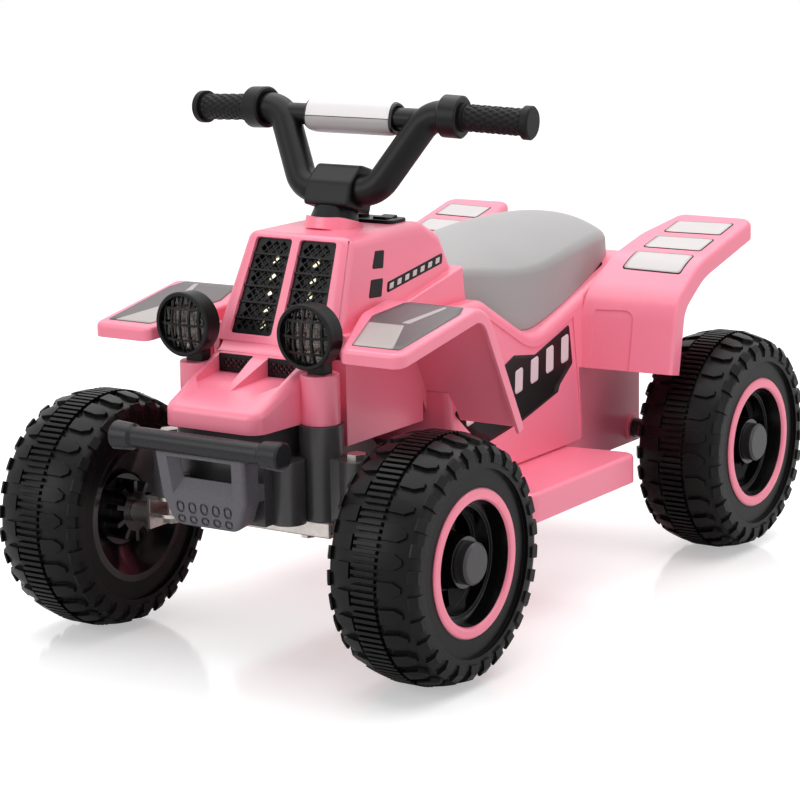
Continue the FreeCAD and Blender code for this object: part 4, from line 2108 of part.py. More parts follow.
def dash_panel():
    """Switch panel on top of the cowl, with openings for rocker and button."""
    plan = [
        (-DASH_HALF, DASH_FRONT),
        (DASH_HALF, DASH_FRONT),
        (DASH_HALF, DASH_BACK),
        (-DASH_HALF, DASH_BACK),
    ]
    panel = upward(plan, DASH_CORNER, COWL_TOP, COWL_TOP + DASH_THICK)
    panel = panel.makeFillet(WALL / 3, edges_where(panel, lambda p: p.z > COWL_TOP + DASH_THICK - RUN))
    y = (DASH_FRONT + DASH_BACK) / 2
    hole = block(
        Vec(ROCKER_X - ROCKER_WIDTH / 2 - FIT, y - ROCKER_LENGTH / 2 - FIT, COWL_TOP - OVERRUN),
        Vec(ROCKER_X + ROCKER_WIDTH / 2 + FIT, y + ROCKER_LENGTH / 2 + FIT, COWL_TOP + 2 * OVERRUN),
    )
    round_hole = rod(Vec(0, y, COWL_TOP - OVERRUN), Vec(0, y, COWL_TOP + OVERRUN), BUTTON_RADIUS + FIT)
    frame_low = COWL_TOP - WALL - ROCKER_HEIGHT
    cups = []
    cups.append(block(
        Vec(ROCKER_X - ROCKER_WIDTH / 2 - WALL, y - ROCKER_LENGTH / 2 - WALL / 2, frame_low),
        Vec(ROCKER_X + ROCKER_WIDTH / 2 + WALL, y + ROCKER_LENGTH / 2 + WALL / 2, COWL_TOP),
    ))
    cups.append(rod(Vec(0, y, frame_low), Vec(0, y, COWL_TOP), BUTTON_RADIUS + WALL / 2))
    pivot = rod(
        Vec(ROCKER_X - ROCKER_WIDTH / 2 - WALL, y, COWL_TOP),
        Vec(ROCKER_X + ROCKER_WIDTH / 2 + WALL, y, COWL_TOP),
        WALL / 2 + RUN,
    )
    return fused(panel, *cups).cut([hole, round_hole, pivot])


def rocker_switch():
    """Rocker with a dished top on a cross pin."""
    y = (DASH_FRONT + DASH_BACK) / 2
    top = COWL_TOP + DASH_THICK + ROCKER_HEIGHT / 2
    half = ROCKER_LENGTH / 2 - FIT
    side = [
        (y - half, COWL_TOP),
        (y + half, COWL_TOP),
        (y + half - WALL / 3, top),
        (y, top - ROCKER_HEIGHT / 3),
        (y - half + WALL / 3, top),
    ]
    low = COWL_TOP - WALL / 2
    cap = across(side, 0, ROCKER_X - ROCKER_WIDTH / 2, ROCKER_X + ROCKER_WIDTH / 2)
    reach = ROCKER_WIDTH / 2 + WALL
    pin = rod(Vec(ROCKER_X - reach, y, COWL_TOP), Vec(ROCKER_X + reach, y, COWL_TOP), WALL / 2)
    stem = block(Vec(ROCKER_X - WALL, y - WALL / 2, low - WALL), Vec(ROCKER_X + WALL, y + WALL / 2, COWL_TOP))
    return fused(cap, pin, stem)


def power_button():
    """Round push button with a bevelled top."""
    y = (DASH_FRONT + DASH_BACK) / 2
    low = COWL_TOP - OVERRUN + BUTTON_TRAVEL + FIT
    top = COWL_TOP + DASH_THICK + BUTTON_PROUD
    button = rod(Vec(0, y, low), Vec(0, y, top), BUTTON_RADIUS)
    return button.makeFillet(WALL / 4, edges_where(button, lambda p: p.z > top - RUN))


def socket_placed(shape):
    """A socket piece set square to the right side panel."""
    z = (BODY_BOTTOM + RIM_DIP_Z) / 2
    lean = math.atan2(BODY_LOW_HALF - BODY_TOP_HALF, RIM_REAR_Z - BODY_BOTTOM)
    copy = shape.copy()
    outward = Vec(-math.cos(lean), 0, math.sin(lean))
    copy.Placement = FreeCAD.Placement(Vec(-body_half(z), SOCKET_Y, z), FreeCAD.Rotation(X_AXIS, outward))
    return copy


def charge_socket():
    """Round charging socket with a flange, in the right side panel."""
    flange = SOCKET_RADIUS + WALL
    return socket_placed(turned([
        (-SOCKET_LENGTH, 0),
        (-SOCKET_LENGTH, SOCKET_RADIUS),
        (0, SOCKET_RADIUS),
        (0, flange),
        (WALL / 2, flange - WALL / 2),
        (WALL / 2, SOCKET_RADIUS / 2),
        (-SOCKET_LENGTH + WALL, SOCKET_RADIUS / 2),
        (-SOCKET_LENGTH + WALL, 0),
    ]))


def drive_coupler():
    """Dog sleeve from the gear casing to a driven hub, in the wheel's own frame."""
    start = -WHEEL_X + REAR_BOX_HALF - WALL - OVERRUN + FIT
    end = -HUB_BACK - FIT
    sleeve = tube(Vec(start, 0, 0), Vec(end, 0, 0), COUPLER_RADIUS, AXLE_RADIUS + RUN)
    flange = tube(Vec(end - WALL, 0, 0), Vec(end, 0, 0), DRIVE_DOG_RADIUS, AXLE_RADIUS + RUN)
    tooth = block(
        Vec(end - WALL / 2, -DOG_WIDTH / 2, HUB_TUBE_RADIUS + FIT),
        Vec(end + 2 * DOG_WIDTH, DOG_WIDTH / 2, DRIVE_DOG_RADIUS - FIT),
    )
    return fused(sleeve, flange, *round_the_wheel(tooth, DOG_COUNT, 1 / 2))


def build():
    """Every node's solid by name."""
    nodes = {
        "front_housing": front_housing(),
        "axle_beam": axle_beam(),
        "beam_bolts": beam_bolts(),
        "kingpin_bolts": kingpin_bolts(),
        "left_knuckle": knuckle(),
        "right_knuckle": mirrored(knuckle()),
        "tie_rod": tie_rod(),
        "steering_column": steering_column(),
        "column_sleeve": column_sleeve(),
        "handlebar_clamp": clamp(),
        "handlebar": handlebar(),
        "left_grip": grip(1),
        "right_grip": grip(-1),
        "grip_collars": grip_collars(),
        "crossbar_pad": crossbar_pad(),
        "front_cowl": front_cowl(),
        "radiator_grilles": radiator_grilles(),
        "led_strips": led_strips(),
        "nose_cowl": nose_cowl(),
        "scoop_grilles": scoop_grilles(),
        "headlight_housings": both_sides(lamp_housing()),
        "headlight_reflectors": both_sides(lamp_reflector()),
        "headlight_bulbs": both_sides(lamp_bulb()),
        "headlight_lenses": both_sides(lamp_lens()),
        "headlight_guards": both_sides(lamp_guard()),
        "front_bumper": front_bumper(),
        "body_shell": body_shell(),
        "seat": seat(),
        "lower_chassis": lower_chassis(),
        "pedal": pedal(),
        "rear_axle": rear_axle(),
        "axle_spacer": axle_spacer(),
        "gearbox": gearbox(),
        "motor": motor(),
        "battery": battery(),
        "control_box": control_box(),
        "dash_panel": dash_panel(),
        "rocker_switch": rocker_switch(),
        "power_button": power_button(),
        "charge_socket": charge_socket(),
    }
    wheel = {"tyre": tyre(), "rim": rim(), "trim_ring": trim_ring(), "hub_cap": hub_cap()}
    nut = axle_nut()
    rear_nuts = []
    for side, side_name in ((1, "left"), (-1, "right")):
        for y, end_name in ((FRONT_Y, "front"), (REAR_Y, "rear")):
            for piece, shape in wheel.items():
                nodes[f"{end_name}_{side_name}_{piece}"] = placed_wheel(shape, side, y)
        nodes[f"{side_name}_stub_nut"] = placed_wheel(nut, side, FRONT_Y)
        rear_nuts.append(placed_wheel(nut, side, REAR_Y))
    nodes["rear_axle_nuts"] = Part.makeCompound(rear_nuts)
    nodes["drive_coupler"] = placed_wheel(drive_coupler(), -1, REAR_Y)
    return nodes


def main():
    """Write one file for each node."""
    os.makedirs("parts", exist_ok=True)
    for name, shape in build().items():
        shape.exportStep(f"parts/{name}.step")


if __name__ == "__main__":
    main()
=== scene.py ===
import json
import math

import bmesh
import bpy
import numpy as np
from mathutils import Matrix, Vector


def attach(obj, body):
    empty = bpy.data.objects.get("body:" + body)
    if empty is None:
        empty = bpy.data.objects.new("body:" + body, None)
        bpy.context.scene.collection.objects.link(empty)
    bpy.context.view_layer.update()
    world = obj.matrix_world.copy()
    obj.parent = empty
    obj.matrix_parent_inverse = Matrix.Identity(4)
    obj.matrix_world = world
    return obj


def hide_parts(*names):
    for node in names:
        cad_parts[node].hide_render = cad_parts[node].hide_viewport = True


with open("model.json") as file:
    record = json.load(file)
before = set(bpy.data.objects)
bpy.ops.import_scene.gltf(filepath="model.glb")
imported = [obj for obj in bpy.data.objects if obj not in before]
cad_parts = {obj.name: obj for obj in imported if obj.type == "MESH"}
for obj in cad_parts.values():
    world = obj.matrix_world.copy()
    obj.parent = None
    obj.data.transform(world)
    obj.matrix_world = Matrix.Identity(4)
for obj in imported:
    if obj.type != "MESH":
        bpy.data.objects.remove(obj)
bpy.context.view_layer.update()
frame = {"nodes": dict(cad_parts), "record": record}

# Looks of a battery quad bike for a small child: mouldings, steel parts, lamps, grips and stickers.
# Metres. Front is -Y, the rider's left is +X, +Z is up, and the ground is z = 0.

MM = 0.001
NODES = frame["nodes"]
WHEELS = ("front_left", "front_right", "rear_left", "rear_right")

# Meshes: points closer than this are joined, and steeper edges than these stay sharp
JOIN_DISTANCE = MM / 1000
NODE_SHARP = math.radians(25)
PIECE_SHARP = math.radians(40)

# Camera at the photograph's viewing angle
CAMERA_PLACE = (1.2852, -1.9401, 0.6535)
CAMERA_AZIMUTH = math.radians(34.08)
CAMERA_ELEVATION = math.radians(11.88)
CAMERA_ROLL = math.radians(-1.09)
CAMERA_LENS = 121.73
CAMERA_SENSOR = 36.0

# Steering axis and grips, as the handlebar carries them
STEER = Vector((0, -130, 345)) * MM
RAKE = math.radians(18)
AXIS_UP = Vector((0, math.sin(RAKE), math.cos(RAKE)))
AXIS_BACK = Vector((0, AXIS_UP.z, -AXIS_UP.y))
GRIP_START = (96 * MM, 87 * MM, 4.6 * MM)
GRIP_END = (167.5 * MM, 86.5 * MM, 13.5 * MM)
GRIP_LENGTH = 62 * MM
GRIP_RADIUS = 10.5 * MM
GRIP_COLLAR = 3 * MM
GRIP_COLLAR_RADIUS = 12 * MM
GRIP_FLANGE = 7 * MM
GRIP_FLANGE_RADIUS = 13.8 * MM
GRIP_LIP = 1.5 * MM
GRIP_LIP_RADIUS = 12.3 * MM
GRIP_STEPS = 150
KNOB_MARGIN = 1.5 * MM
KNOB_HEIGHT = 0.8 * MM
KNOB_PITCH = 5 * MM
KNOBS_ROUND = 14
KNOB_STEPS = 16
KNOB_REACH = 1.1
KNOB_SLOPE = 0.6

# Crossbar pad
PAD_HIGH = 83 * MM
PAD_BACK = 4.32 * MM
PAD_HALF = 44 * MM
PAD_HEIGHT = 29 * MM
PAD_DEPTH = 25 * MM
PAD_BORE = 9.05 * MM
PAD_SQUARE = 0.8
PAD_DRAWN = 0.16
PAD_DRAWN_POWER = 14
PAD_STEPS = 61
PAD_STEPS_ROUND = 96

# Print on the pad, in shares of its height and length
PAD_LINE = -0.12
PAD_LINE_HALF = 0.014
PAD_END = 0.475

# Sill between the grille face and the nose, in side view
SILL_CURVE = ((-220.4, 253.2), (-223.6, 243.6), (-232, 243.08))
SILL_BACK = ((-216.5, 243.08), (-216.5, 247.6), (-219, 250.5))
SILL_HALF = 50.5 * MM
SILL_STEPS = 15
SILL_COLUMNS = 25

# Diodes behind the net
DIODE_X = 19.8 * MM
DIODE_LOW = 262.25 * MM
DIODE_PITCH = 12.5 * MM
DIODE_TOP = 318 * MM
DIODE_RADIUS = 1.4 * MM
DIODE_HALO = 2.6 * MM
DIODE_GLOW = 1.6

# Bumper: the flakes, and the heights between which the plate's grey turns into the painted shade of the bar
FLAKE = 0.7 * MM
BAR_SHADE_LOW = 177 * MM
BAR_SHADE_HIGH = 180 * MM

# Lens flutes; the wave texture repeats once in this length of its scaled place
FLUTE_PITCH = 4.6 * MM
WAVE_REPEAT = 0.314

# Slow clouds in the colour of the mouldings, and the rounding of their edges
CLOUD = 60 * MM
EDGE = 0.7 * MM

# Stickers: the film, and the levels in millimetres from which it is pressed on to a moulding
STICKER_THICK = 0.18 * MM
STICKER_LIFT = 0.06 * MM
STICKER_ABOVE = STICKER_LIFT + STICKER_THICK
FRONT_GUARD_LEVEL = 330
REAR_GUARD_LEVEL = 340
TANK_LEVEL = 75
PANEL_LEVEL = 110
BAR_BORDER = 1.1

# Room: the floor adds light for the camera alone, so that it is white outside the shadow
FLOOR_HALF = 6.0
FLOOR_LIFT = 0.4
ROOM_SOFT = 0.34
LAMP_AIM = Vector((0, 0, 0.2))
# Name, place, width and power of each lamp
LAMPS = (
    ("top_softbox", (0.0, 0.3, 2.4), 3.6, 78.0),
    ("key_softbox", (-1.2, -2.6, 1.3), 1.6, 20.0),
    ("fill_softbox", (2.6, -0.2, 1.0), 1.8, 8.0),
)


# Numbers and meshes


def linear(colour):
    """An sRGB hex colour as linear red, green, blue and alpha."""
    value = np.array([int(colour[i:i + 2], 16) for i in (1, 3, 5)]) / 255
    value = np.where(value <= 0.04045, value / 12.92, ((value + 0.055) / 1.055) ** 2.4)
    return (*value.tolist(), 1.0)


def steer_point(across, high, back=0.0):
    """Point given across, up and behind the steering axis."""
    return STEER + Vector((across, 0, 0)) + AXIS_UP * high + AXIS_BACK * back


def grid_faces(rows, columns):
    """Quads of a grid of points whose rows close on themselves."""
    index = np.arange(rows * columns).reshape(rows, columns)
    index = np.hstack([index, index[:, :1]])
    corners = [index[:-1, :-1], index[:-1, 1:], index[1:, 1:], index[1:, :-1]]
    return np.stack(corners, axis=-1).reshape(-1, 4)


def make_piece(name, grids, material, body):
    """One mesh from grids of points, each rows x columns x 3, merged where they meet."""
    points, faces, start = [], [], 0
    for grid in grids:
        rows, columns = grid.shape[:2]
        points.append(grid.reshape(-1, 3))
        faces.append(grid_faces(rows, columns) + start)
        start += rows * columns
    mesh = bpy.data.meshes.new(name)
    mesh.from_pydata(np.vstack(points).tolist(), [], np.vstack(faces).tolist())
    work = bmesh.new()
    work.from_mesh(mesh)
    bmesh.ops.remove_doubles(work, verts=work.verts, dist=JOIN_DISTANCE)
    bmesh.ops.recalc_face_normals(work, faces=work.faces)
    work.to_mesh(mesh)
    work.free()
    mesh.shade_smooth()
    mesh.set_sharp_from_angle(angle=PIECE_SHARP)
    mesh.materials.append(material)
    piece = bpy.data.objects.new(name, mesh)
    bpy.context.scene.collection.objects.link(piece)
    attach(piece, body)
    return piece


def rounded_outline(corners, radius, steps=6):
    """Closed line round a polygon: each corner is an arc of the radius, tangent to its two sides."""
    corners = np.array(corners, float)
    back = np.roll(corners, 1, axis=0) - corners
    ahead = np.roll(corners, -1, axis=0) - corners
    back /= np.linalg.norm(back, axis=1, keepdims=True)
    ahead /= np.linalg.norm(ahead, axis=1, keepdims=True)
    half = np.arccos(np.clip((back * ahead).sum(1), -1, 1)) / 2
    middle = back + ahead
    middle /= np.linalg.norm(middle, axis=1, keepdims=True)
    centre = corners + middle * (radius / np.sin(half))[:, None]
    side = np.stack([-middle[:, 1], middle[:, 0]], axis=1)
    side *= np.sign((side * back).sum(1))[:, None]
    turn = np.linspace(1, -1, steps)[None, :] * (math.pi / 2 - half)[:, None]
    arcs = -middle[:, None, :] * np.cos(turn)[:, :, None] + side[:, None, :] * np.sin(turn)[:, :, None]
    return (centre[:, None, :] + radius * arcs).reshape(-1, 2)


def filled_outline(line, rings=8, spacing=2.5 * MM):
    """Grid of rings that shrink from a closed line to its middle, with the line's points evenly spaced."""
    closed = np.vstack([line, line[:1]])
    length = np.concatenate([[0], np.cumsum(np.linalg.norm(np.diff(closed, axis=0), axis=1))])
    even = np.arange(0, length[-1], spacing)
    stops = np.unique(np.concatenate([length[:-1], even]))
    edge = np.stack([np.interp(stops, length, closed[:, k]) for k in range(2)], axis=1)
    share = np.linspace(0, 1, rings)[:, None, None]
    return edge[None] * (1 - share) + line.mean(0)[None, None] * share


# Nodes of the materials


def feed(tree, node, inputs):
    """Each named input of a node is linked to a socket or set to a value."""
    for name, value in inputs.items():
        if isinstance(value, bpy.types.NodeSocket):
            tree.links.new(value, node.inputs[name])
        else:
            node.inputs[name].default_value = value


def add(tree, kind, inputs=None, **settings):
    """One node of a tree with its settings, and its inputs set or linked."""
    node = tree.nodes.new("ShaderNode" + kind)
    for name, value in settings.items():
        setattr(node, name, value)
    feed(tree, node, inputs or {})
    return node


def maths(tree, operation, *values):
    """Result of one arithmetic step."""
    return add(tree, "Math", dict(enumerate(values)), operation=operation).outputs[0]


def noise(tree, place, size, detail=2.0):
    """Cloudy pattern from 0 to 1 whose spots are about the size."""
    return add(tree, "TexNoise", {"Vector": place, "Scale": 1 / size, "Detail": detail}).outputs["Fac"]


def blend(tree, share, first, second):
    """Colour that goes from the first to the second as the share goes from 0 to 1."""
    return add(tree, "MixRGB", {"Fac": share, "Color1": first, "Color2": second}).outputs["Color"]


def spread(tree, value, low, high):
    """A value from 0 to 1 spread between two others."""
    return add(tree, "MapRange", {"Value": value, "To Min": low, "To Max": high}).outputs["Result"]


def ramp(tree, value, start, end):
    """Share from 0 to 1 as a value goes from the start to the end."""
    return add(tree, "MapRange", {"Value": value, "From Min": start, "From Max": end}).outputs["Result"]


def skin_normal(tree, height, relief, edge=None):
    """Normal of a skin with a fine relief, whose corners are softened where an edge radius is given."""
    inputs = {"Strength": 1.0, "Distance": relief, "Height": height}
    if edge:
        inputs["Normal"] = add(tree, "Bevel", {"Radius": edge}, samples=4).outputs["Normal"]
    return add(tree, "Bump", inputs).outputs["Normal"]


def new_material(name):
    """Empty material with its shader, and the place on the piece that its patterns follow."""
    material = bpy.data.materials.new(name)
    material.use_nodes = True
    tree = material.node_tree
    tree.nodes.clear()
    shader = add(tree, "BsdfPrincipled")
    add(tree, "OutputMaterial", {"Surface": shader.outputs["BSDF"]})
    place = add(tree, "TexCoord").outputs["Object"]
    return material, tree, shader, place


# Materials


def moulded(name, colours, roughness, grain, relief, ior=1.49, edge=EDGE, sheen=0.5):
    """Moulded plastic: slow clouds between two close tints, uneven gloss and a grained skin."""
    material, tree, shader, place = new_material(name)
    light, dark = (linear(colour) for colour in colours)
    skin = noise(tree, place, grain, 3.0)
    feed(tree, shader, {
        "Base Color": blend(tree, noise(tree, place, CLOUD), light, dark),
        "Roughness": spread(tree, skin, roughness * 0.85, roughness * 1.15),
        "Normal": skin_normal(tree, skin, relief, edge),
        "IOR": ior,
        "Specular IOR Level": sheen,
    })
    return material


def flake_grey_polypropylene():
    """Metal-flake grey moulding of the bumper: a satin sheen with fine flakes, and painted shade along the
    bar.
    """
    material, tree, shader, place = new_material("flake_grey_polypropylene")
    flakes = add(tree, "TexVoronoi", {"Vector": place, "Scale": 1 / FLAKE}).outputs["Color"]
    speck = add(tree, "SeparateXYZ", {"Vector": flakes}).outputs["X"]
    plate = blend(tree, speck, linear("#676469"), linear("#5A575D"))
    # Painted shade: the bar gets a much darker grey than the plate of the same moulding
    bar = blend(tree, speck, linear("#232225"), linear("#1F1E21"))
    height = add(tree, "SeparateXYZ", {"Vector": place}).outputs["Z"]
    feed(tree, shader, {
        "Base Color": blend(tree, ramp(tree, height, BAR_SHADE_LOW, BAR_SHADE_HIGH), plate, bar),
        "Roughness": spread(tree, speck, 0.26, 0.36),
        "Normal": skin_normal(tree, speck, 0.008 * MM, EDGE),
        "IOR": 1.49,
        "Specular IOR Level": 0.25,
    })
    return material


def zinc_plated_steel():
    """Bright zinc on pressed steel: a soft metal sheen with faint drawn lines and a mottle."""
    material, tree, shader, place = new_material("zinc_plated_steel")
    mottle = noise(tree, place, 6 * MM, 4.0)
    drawn = add(tree, "Mapping", {"Vector": place, "Scale": (20.0, 1500.0, 1500.0)}).outputs["Vector"]
    feed(tree, shader, {
        "Base Color": blend(tree, mottle, linear("#D6CFC9"), linear("#B5AEA9")),
        "Roughness": spread(tree, mottle, 0.3, 0.45),
        "Normal": skin_normal(tree, noise(tree, drawn, 1.0), 0.02 * MM, 0.4 * MM),
        "Metallic": 1.0,
    })
    return material


def metallised_reflector():
    """Smoked metallised bowl: a dim mirror with facets and warm brown patches."""
    material, tree, shader, place = new_material("smoked_metallised_plastic")
    facets = add(tree, "TexVoronoi", {"Vector": place, "Scale": 1 / (5 * MM)}).outputs["Distance"]
    warm = noise(tree, place, 14 * MM, 1.0)
    feed(tree, shader, {
        "Base Color": blend(tree, warm, linear("#8A7F7D"), linear("#5A3A35")),
        "Roughness": spread(tree, facets, 0.12, 0.25),
        "Normal": skin_normal(tree, facets, 0.3 * MM),
        "Metallic": 1.0,
    })
    return material


def fluted_lens():
    """Clear moulded lamp lens: upright flutes every few millimetres, which break the view into streaks."""
    material, tree, shader, place = new_material("fluted_polycarbonate")
    flutes = add(tree, "TexWave", {
        "Vector": place, "Scale": WAVE_REPEAT / FLUTE_PITCH}, bands_direction="X").outputs["Fac"]
    feed(tree, shader, {
        "Base Color": linear("#E9E7E5"),
        "Roughness": spread(tree, flutes, 0.03, 0.08),
        "Normal": skin_normal(tree, flutes, 0.5 * MM),
        "Transmission Weight": 1.0,
        "IOR": 1.58,
    })
    return material


def diode_board():
    """Black circuit board with a column of warm white diodes, one in each tier of the net but the top one."""
    material, tree, shader, place = new_material("lit_circuit_board")
    parts = add(tree, "SeparateXYZ", {"Vector": place}).outputs
    aside = maths(tree, "SUBTRACT", maths(tree, "ABSOLUTE", parts["X"]), DIODE_X)
    row = maths(tree, "SUBTRACT", parts["Z"], DIODE_LOW)
    row = maths(tree, "PINGPONG", row, DIODE_PITCH)
    row = maths(tree, "PINGPONG", row, DIODE_PITCH / 2)
    apart = add(tree, "CombineXYZ", {"X": aside, "Y": row}).outputs["Vector"]
    apart = add(tree, "VectorMath", {0: apart}, operation="LENGTH").outputs["Value"]
    below = maths(tree, "LESS_THAN", parts["Z"], DIODE_TOP)
    lit = maths(tree, "MULTIPLY", ramp(tree, apart, DIODE_HALO, DIODE_RADIUS), below)
    board = blend(tree, noise(tree, place, 3 * MM), linear("#1A1413"), linear("#0F0B0B"))
    feed(tree, shader, {
        "Base Color": blend(tree, lit, board, linear("#FFF9DE")),
        "Emission Color": blend(tree, lit, linear("#000000"), linear("#FFF6CF")),
        "Emission Strength": DIODE_GLOW,
        "Roughness": 0.4,
    })
    return material


def vinyl_pad():
    """Printed vinyl on the bar pad: white above, silver below a dark line, and black at the ends."""
    material, tree, shader, place = new_material("printed_vinyl")
    uv = add(tree, "UVMap", uv_map="wrap").outputs["UV"]
    parts = add(tree, "SeparateXYZ", {"Vector": uv}).outputs
    foil = noise(tree, place, 1.2 * MM, 3.0)
    low = blend(tree, foil, linear("#B3AFB0"), linear("#A19D9E"))
    high = blend(tree, foil, linear("#F3EFF0"), linear("#E7E2E3"))
    tint = blend(tree, maths(tree, "GREATER_THAN", parts["Y"], PAD_LINE), low, high)
    line = maths(tree, "COMPARE", parts["Y"], PAD_LINE, PAD_LINE_HALF)
    end = maths(tree, "GREATER_THAN", maths(tree, "ABSOLUTE", parts["X"]), PAD_END)
    dark = maths(tree, "MAXIMUM", line, end)
    feed(tree, shader, {
        "Base Color": blend(tree, dark, tint, linear("#1C1A1B")),
        "Roughness": 0.35,
        "Normal": skin_normal(tree, foil, 0.03 * MM),
    })
    return material


def sticker_vinyl(name, light, dark, sheen=0.5):
    """Printed sticker film: even colour, a soft gloss and the faint orange peel of the skin below."""
    return moulded(name, (light, dark), 0.38, 1.5 * MM, 0.008 * MM, edge=0.1 * MM, sheen=sheen)


MATERIALS = {
    # Injection-moulded polypropylene, coloured through: a soft gloss with a faint orange peel.
    "pink_shell": moulded(
        "pink_polypropylene", ("#FF8AA3", "#FC839D"), 0.30, 2.2 * MM, 0.008 * MM, sheen=0.7),
    # Satin black polypropylene from an etched mould: dark, with a soft broken highlight.
    "black_plastic": moulded(
        "black_polypropylene", ("#110F10", "#0C0B0B"), 0.36, 0.7 * MM, 0.03 * MM, sheen=0.22),
    # Polished black styrene of the wheel dishes: near mirror gloss.
    "gloss_black": moulded("gloss_black_abs", ("#0E0D0E", "#0A0909"), 0.14, 3 * MM, 0.008 * MM, ior=1.54),
    # Dark grey polypropylene of the front moulding: satin with a fine etched grain.
    "dark_grey_plastic": moulded(
        "dark_grey_polypropylene", ("#454345", "#3C3A3C"), 0.34, 0.8 * MM, 0.03 * MM),
    # Grey saddle moulding: a dull satin skin with a shallow leather-like grain.
    "seat_grey": moulded(
        "grey_polyethylene", ("#A5A3A3", "#9D9B9B"), 0.40, 1.1 * MM, 0.05 * MM, sheen=0.7),
    # Blow-moulded polyethylene tyre: matt black with a waxy, slightly mottled skin.
    "tyre_plastic": moulded(
        "black_polyethylene", ("#0E0C0D", "#090808"), 0.34, 1.6 * MM, 0.05 * MM, sheen=0.18),
    # Soft vinyl of the grips: matt black, almost no highlight.
    "grip_rubber": moulded(
        "black_soft_vinyl", ("#151314", "#0F0D0E"), 0.48, 0.6 * MM, 0.03 * MM, sheen=0.18),
    "steel": zinc_plated_steel(),
    "reflector": metallised_reflector(),
    "clear_lens": fluted_lens(),
    "led_light": diode_board(),
    "silver_pad": vinyl_pad(),
    # Sealed battery case: black styrene with a coarse sparked texture.
    "battery_case": moulded("black_battery_abs", ("#2B2A2C", "#232224"), 0.5, 0.9 * MM, 0.05 * MM),
}
# Enamelled steel of the rear axle: black with a hard even gloss.
BLACK_ENAMEL = moulded("black_enamelled_steel", ("#161415", "#110F10"), 0.28, 2 * MM, 0.01 * MM)
# Charcoal polypropylene of the hub caps: satin, a shade darker than the front moulding.
CHARCOAL = moulded("charcoal_polypropylene", ("#333134", "#2B292C"), 0.32, 0.8 * MM, 0.02 * MM)
NODE_MATERIALS = {
    "front_bumper": flake_grey_polypropylene(),
    # Milky diffuser over the lamp's diode: soft white with a low gloss.
    "headlight_bulbs": moulded(
        "milky_polycarbonate", ("#D9D3CD", "#CFC8C2"), 0.3, 1.2 * MM, 0.01 * MM, ior=1.58),
    # Black polypropylene of the bar's clamp, whose corners are generously rounded.
    "handlebar_clamp": moulded(
        "rounded_black_polypropylene", ("#110F10", "#0C0B0B"), 0.36, 0.7 * MM, 0.03 * MM, edge=4 * MM,
        sheen=0.22),
    "rear_axle": BLACK_ENAMEL,
    "axle_spacer": BLACK_ENAMEL,
    **{wheel + "_hub_cap": CHARCOAL for wheel in WHEELS},
}
# Sticker films, as sticker_vinyl describes them
WHITE_FILM = sticker_vinyl("white_sticker_film", "#D2CDCC", "#CBC6C5")
SILVER_FILM = sticker_vinyl("silver_sticker_film", "#B6AFAD", "#AFA8A6")
PALE_FILM = sticker_vinyl("pale_sticker_film", "#E6D3D8", "#DECAD0")
GREY_FILM = sticker_vinyl("grey_sticker_film", "#60585A", "#585052")
BLACK_FILM = sticker_vinyl("black_sticker_film", "#140D0F", "#0E090A", sheen=0.2)


# Solids of the frame


def smooth_by_angle():
    """Geometry nodes that join a solid's loose triangles and shade it smooth, but for its sharp edges."""
    tree = bpy.data.node_groups.new("smooth_by_angle", "GeometryNodeTree")
    tree.interface.new_socket("Geometry", in_out="INPUT", socket_type="NodeSocketGeometry")
    tree.interface.new_socket("Geometry", in_out="OUTPUT", socket_type="NodeSocketGeometry")
    start = tree.nodes.new("NodeGroupInput")
    merge = tree.nodes.new("GeometryNodeMergeByDistance")
    merge.inputs["Distance"].default_value = JOIN_DISTANCE
    faces = tree.nodes.new("GeometryNodeSetShadeSmooth")
    edges = tree.nodes.new("GeometryNodeSetShadeSmooth")
    edges.domain = "EDGE"
    edges.inputs["Shade Smooth"].default_value = False
    angle = tree.nodes.new("GeometryNodeInputMeshEdgeAngle")
    compare = tree.nodes.new("FunctionNodeCompare")
    compare.operation = "GREATER_THAN"
    compare.inputs[1].default_value = NODE_SHARP
    end = tree.nodes.new("NodeGroupOutput")
    tree.links.new(start.outputs[0], merge.inputs["Geometry"])
    tree.links.new(merge.outputs["Geometry"], faces.inputs["Geometry"])
    tree.links.new(faces.outputs["Geometry"], edges.inputs["Geometry"])
    tree.links.new(angle.outputs["Unsigned Angle"], compare.inputs[0])
    tree.links.new(compare.outputs["Result"], edges.inputs["Selection"])
    tree.links.new(edges.outputs["Geometry"], end.inputs[0])
    return tree


def dress_nodes():
    """Each solid takes its own material or its slot's, and is shaded smooth between its sharp edges.

    Large faces set the normals at their corners, so that flat walls stay flat beside a rounding."""
    shading = smooth_by_angle()
    slots = {entry["node"]: entry["material_slot"] for entry in frame["record"]["subparts"]}
    for name, node in NODES.items():
        node.data.materials.clear()
        node.data.materials.append(NODE_MATERIALS.get(name, MATERIALS[slots[name]]))
        modifier = node.modifiers.new("smooth_by_angle", "NODES")
        modifier.node_group = shading
        weighted = node.modifiers.new("flat_faces_first", "WEIGHTED_NORMAL")
        weighted.mode = "FACE_AREA"
        weighted.keep_sharp = True


# Grips


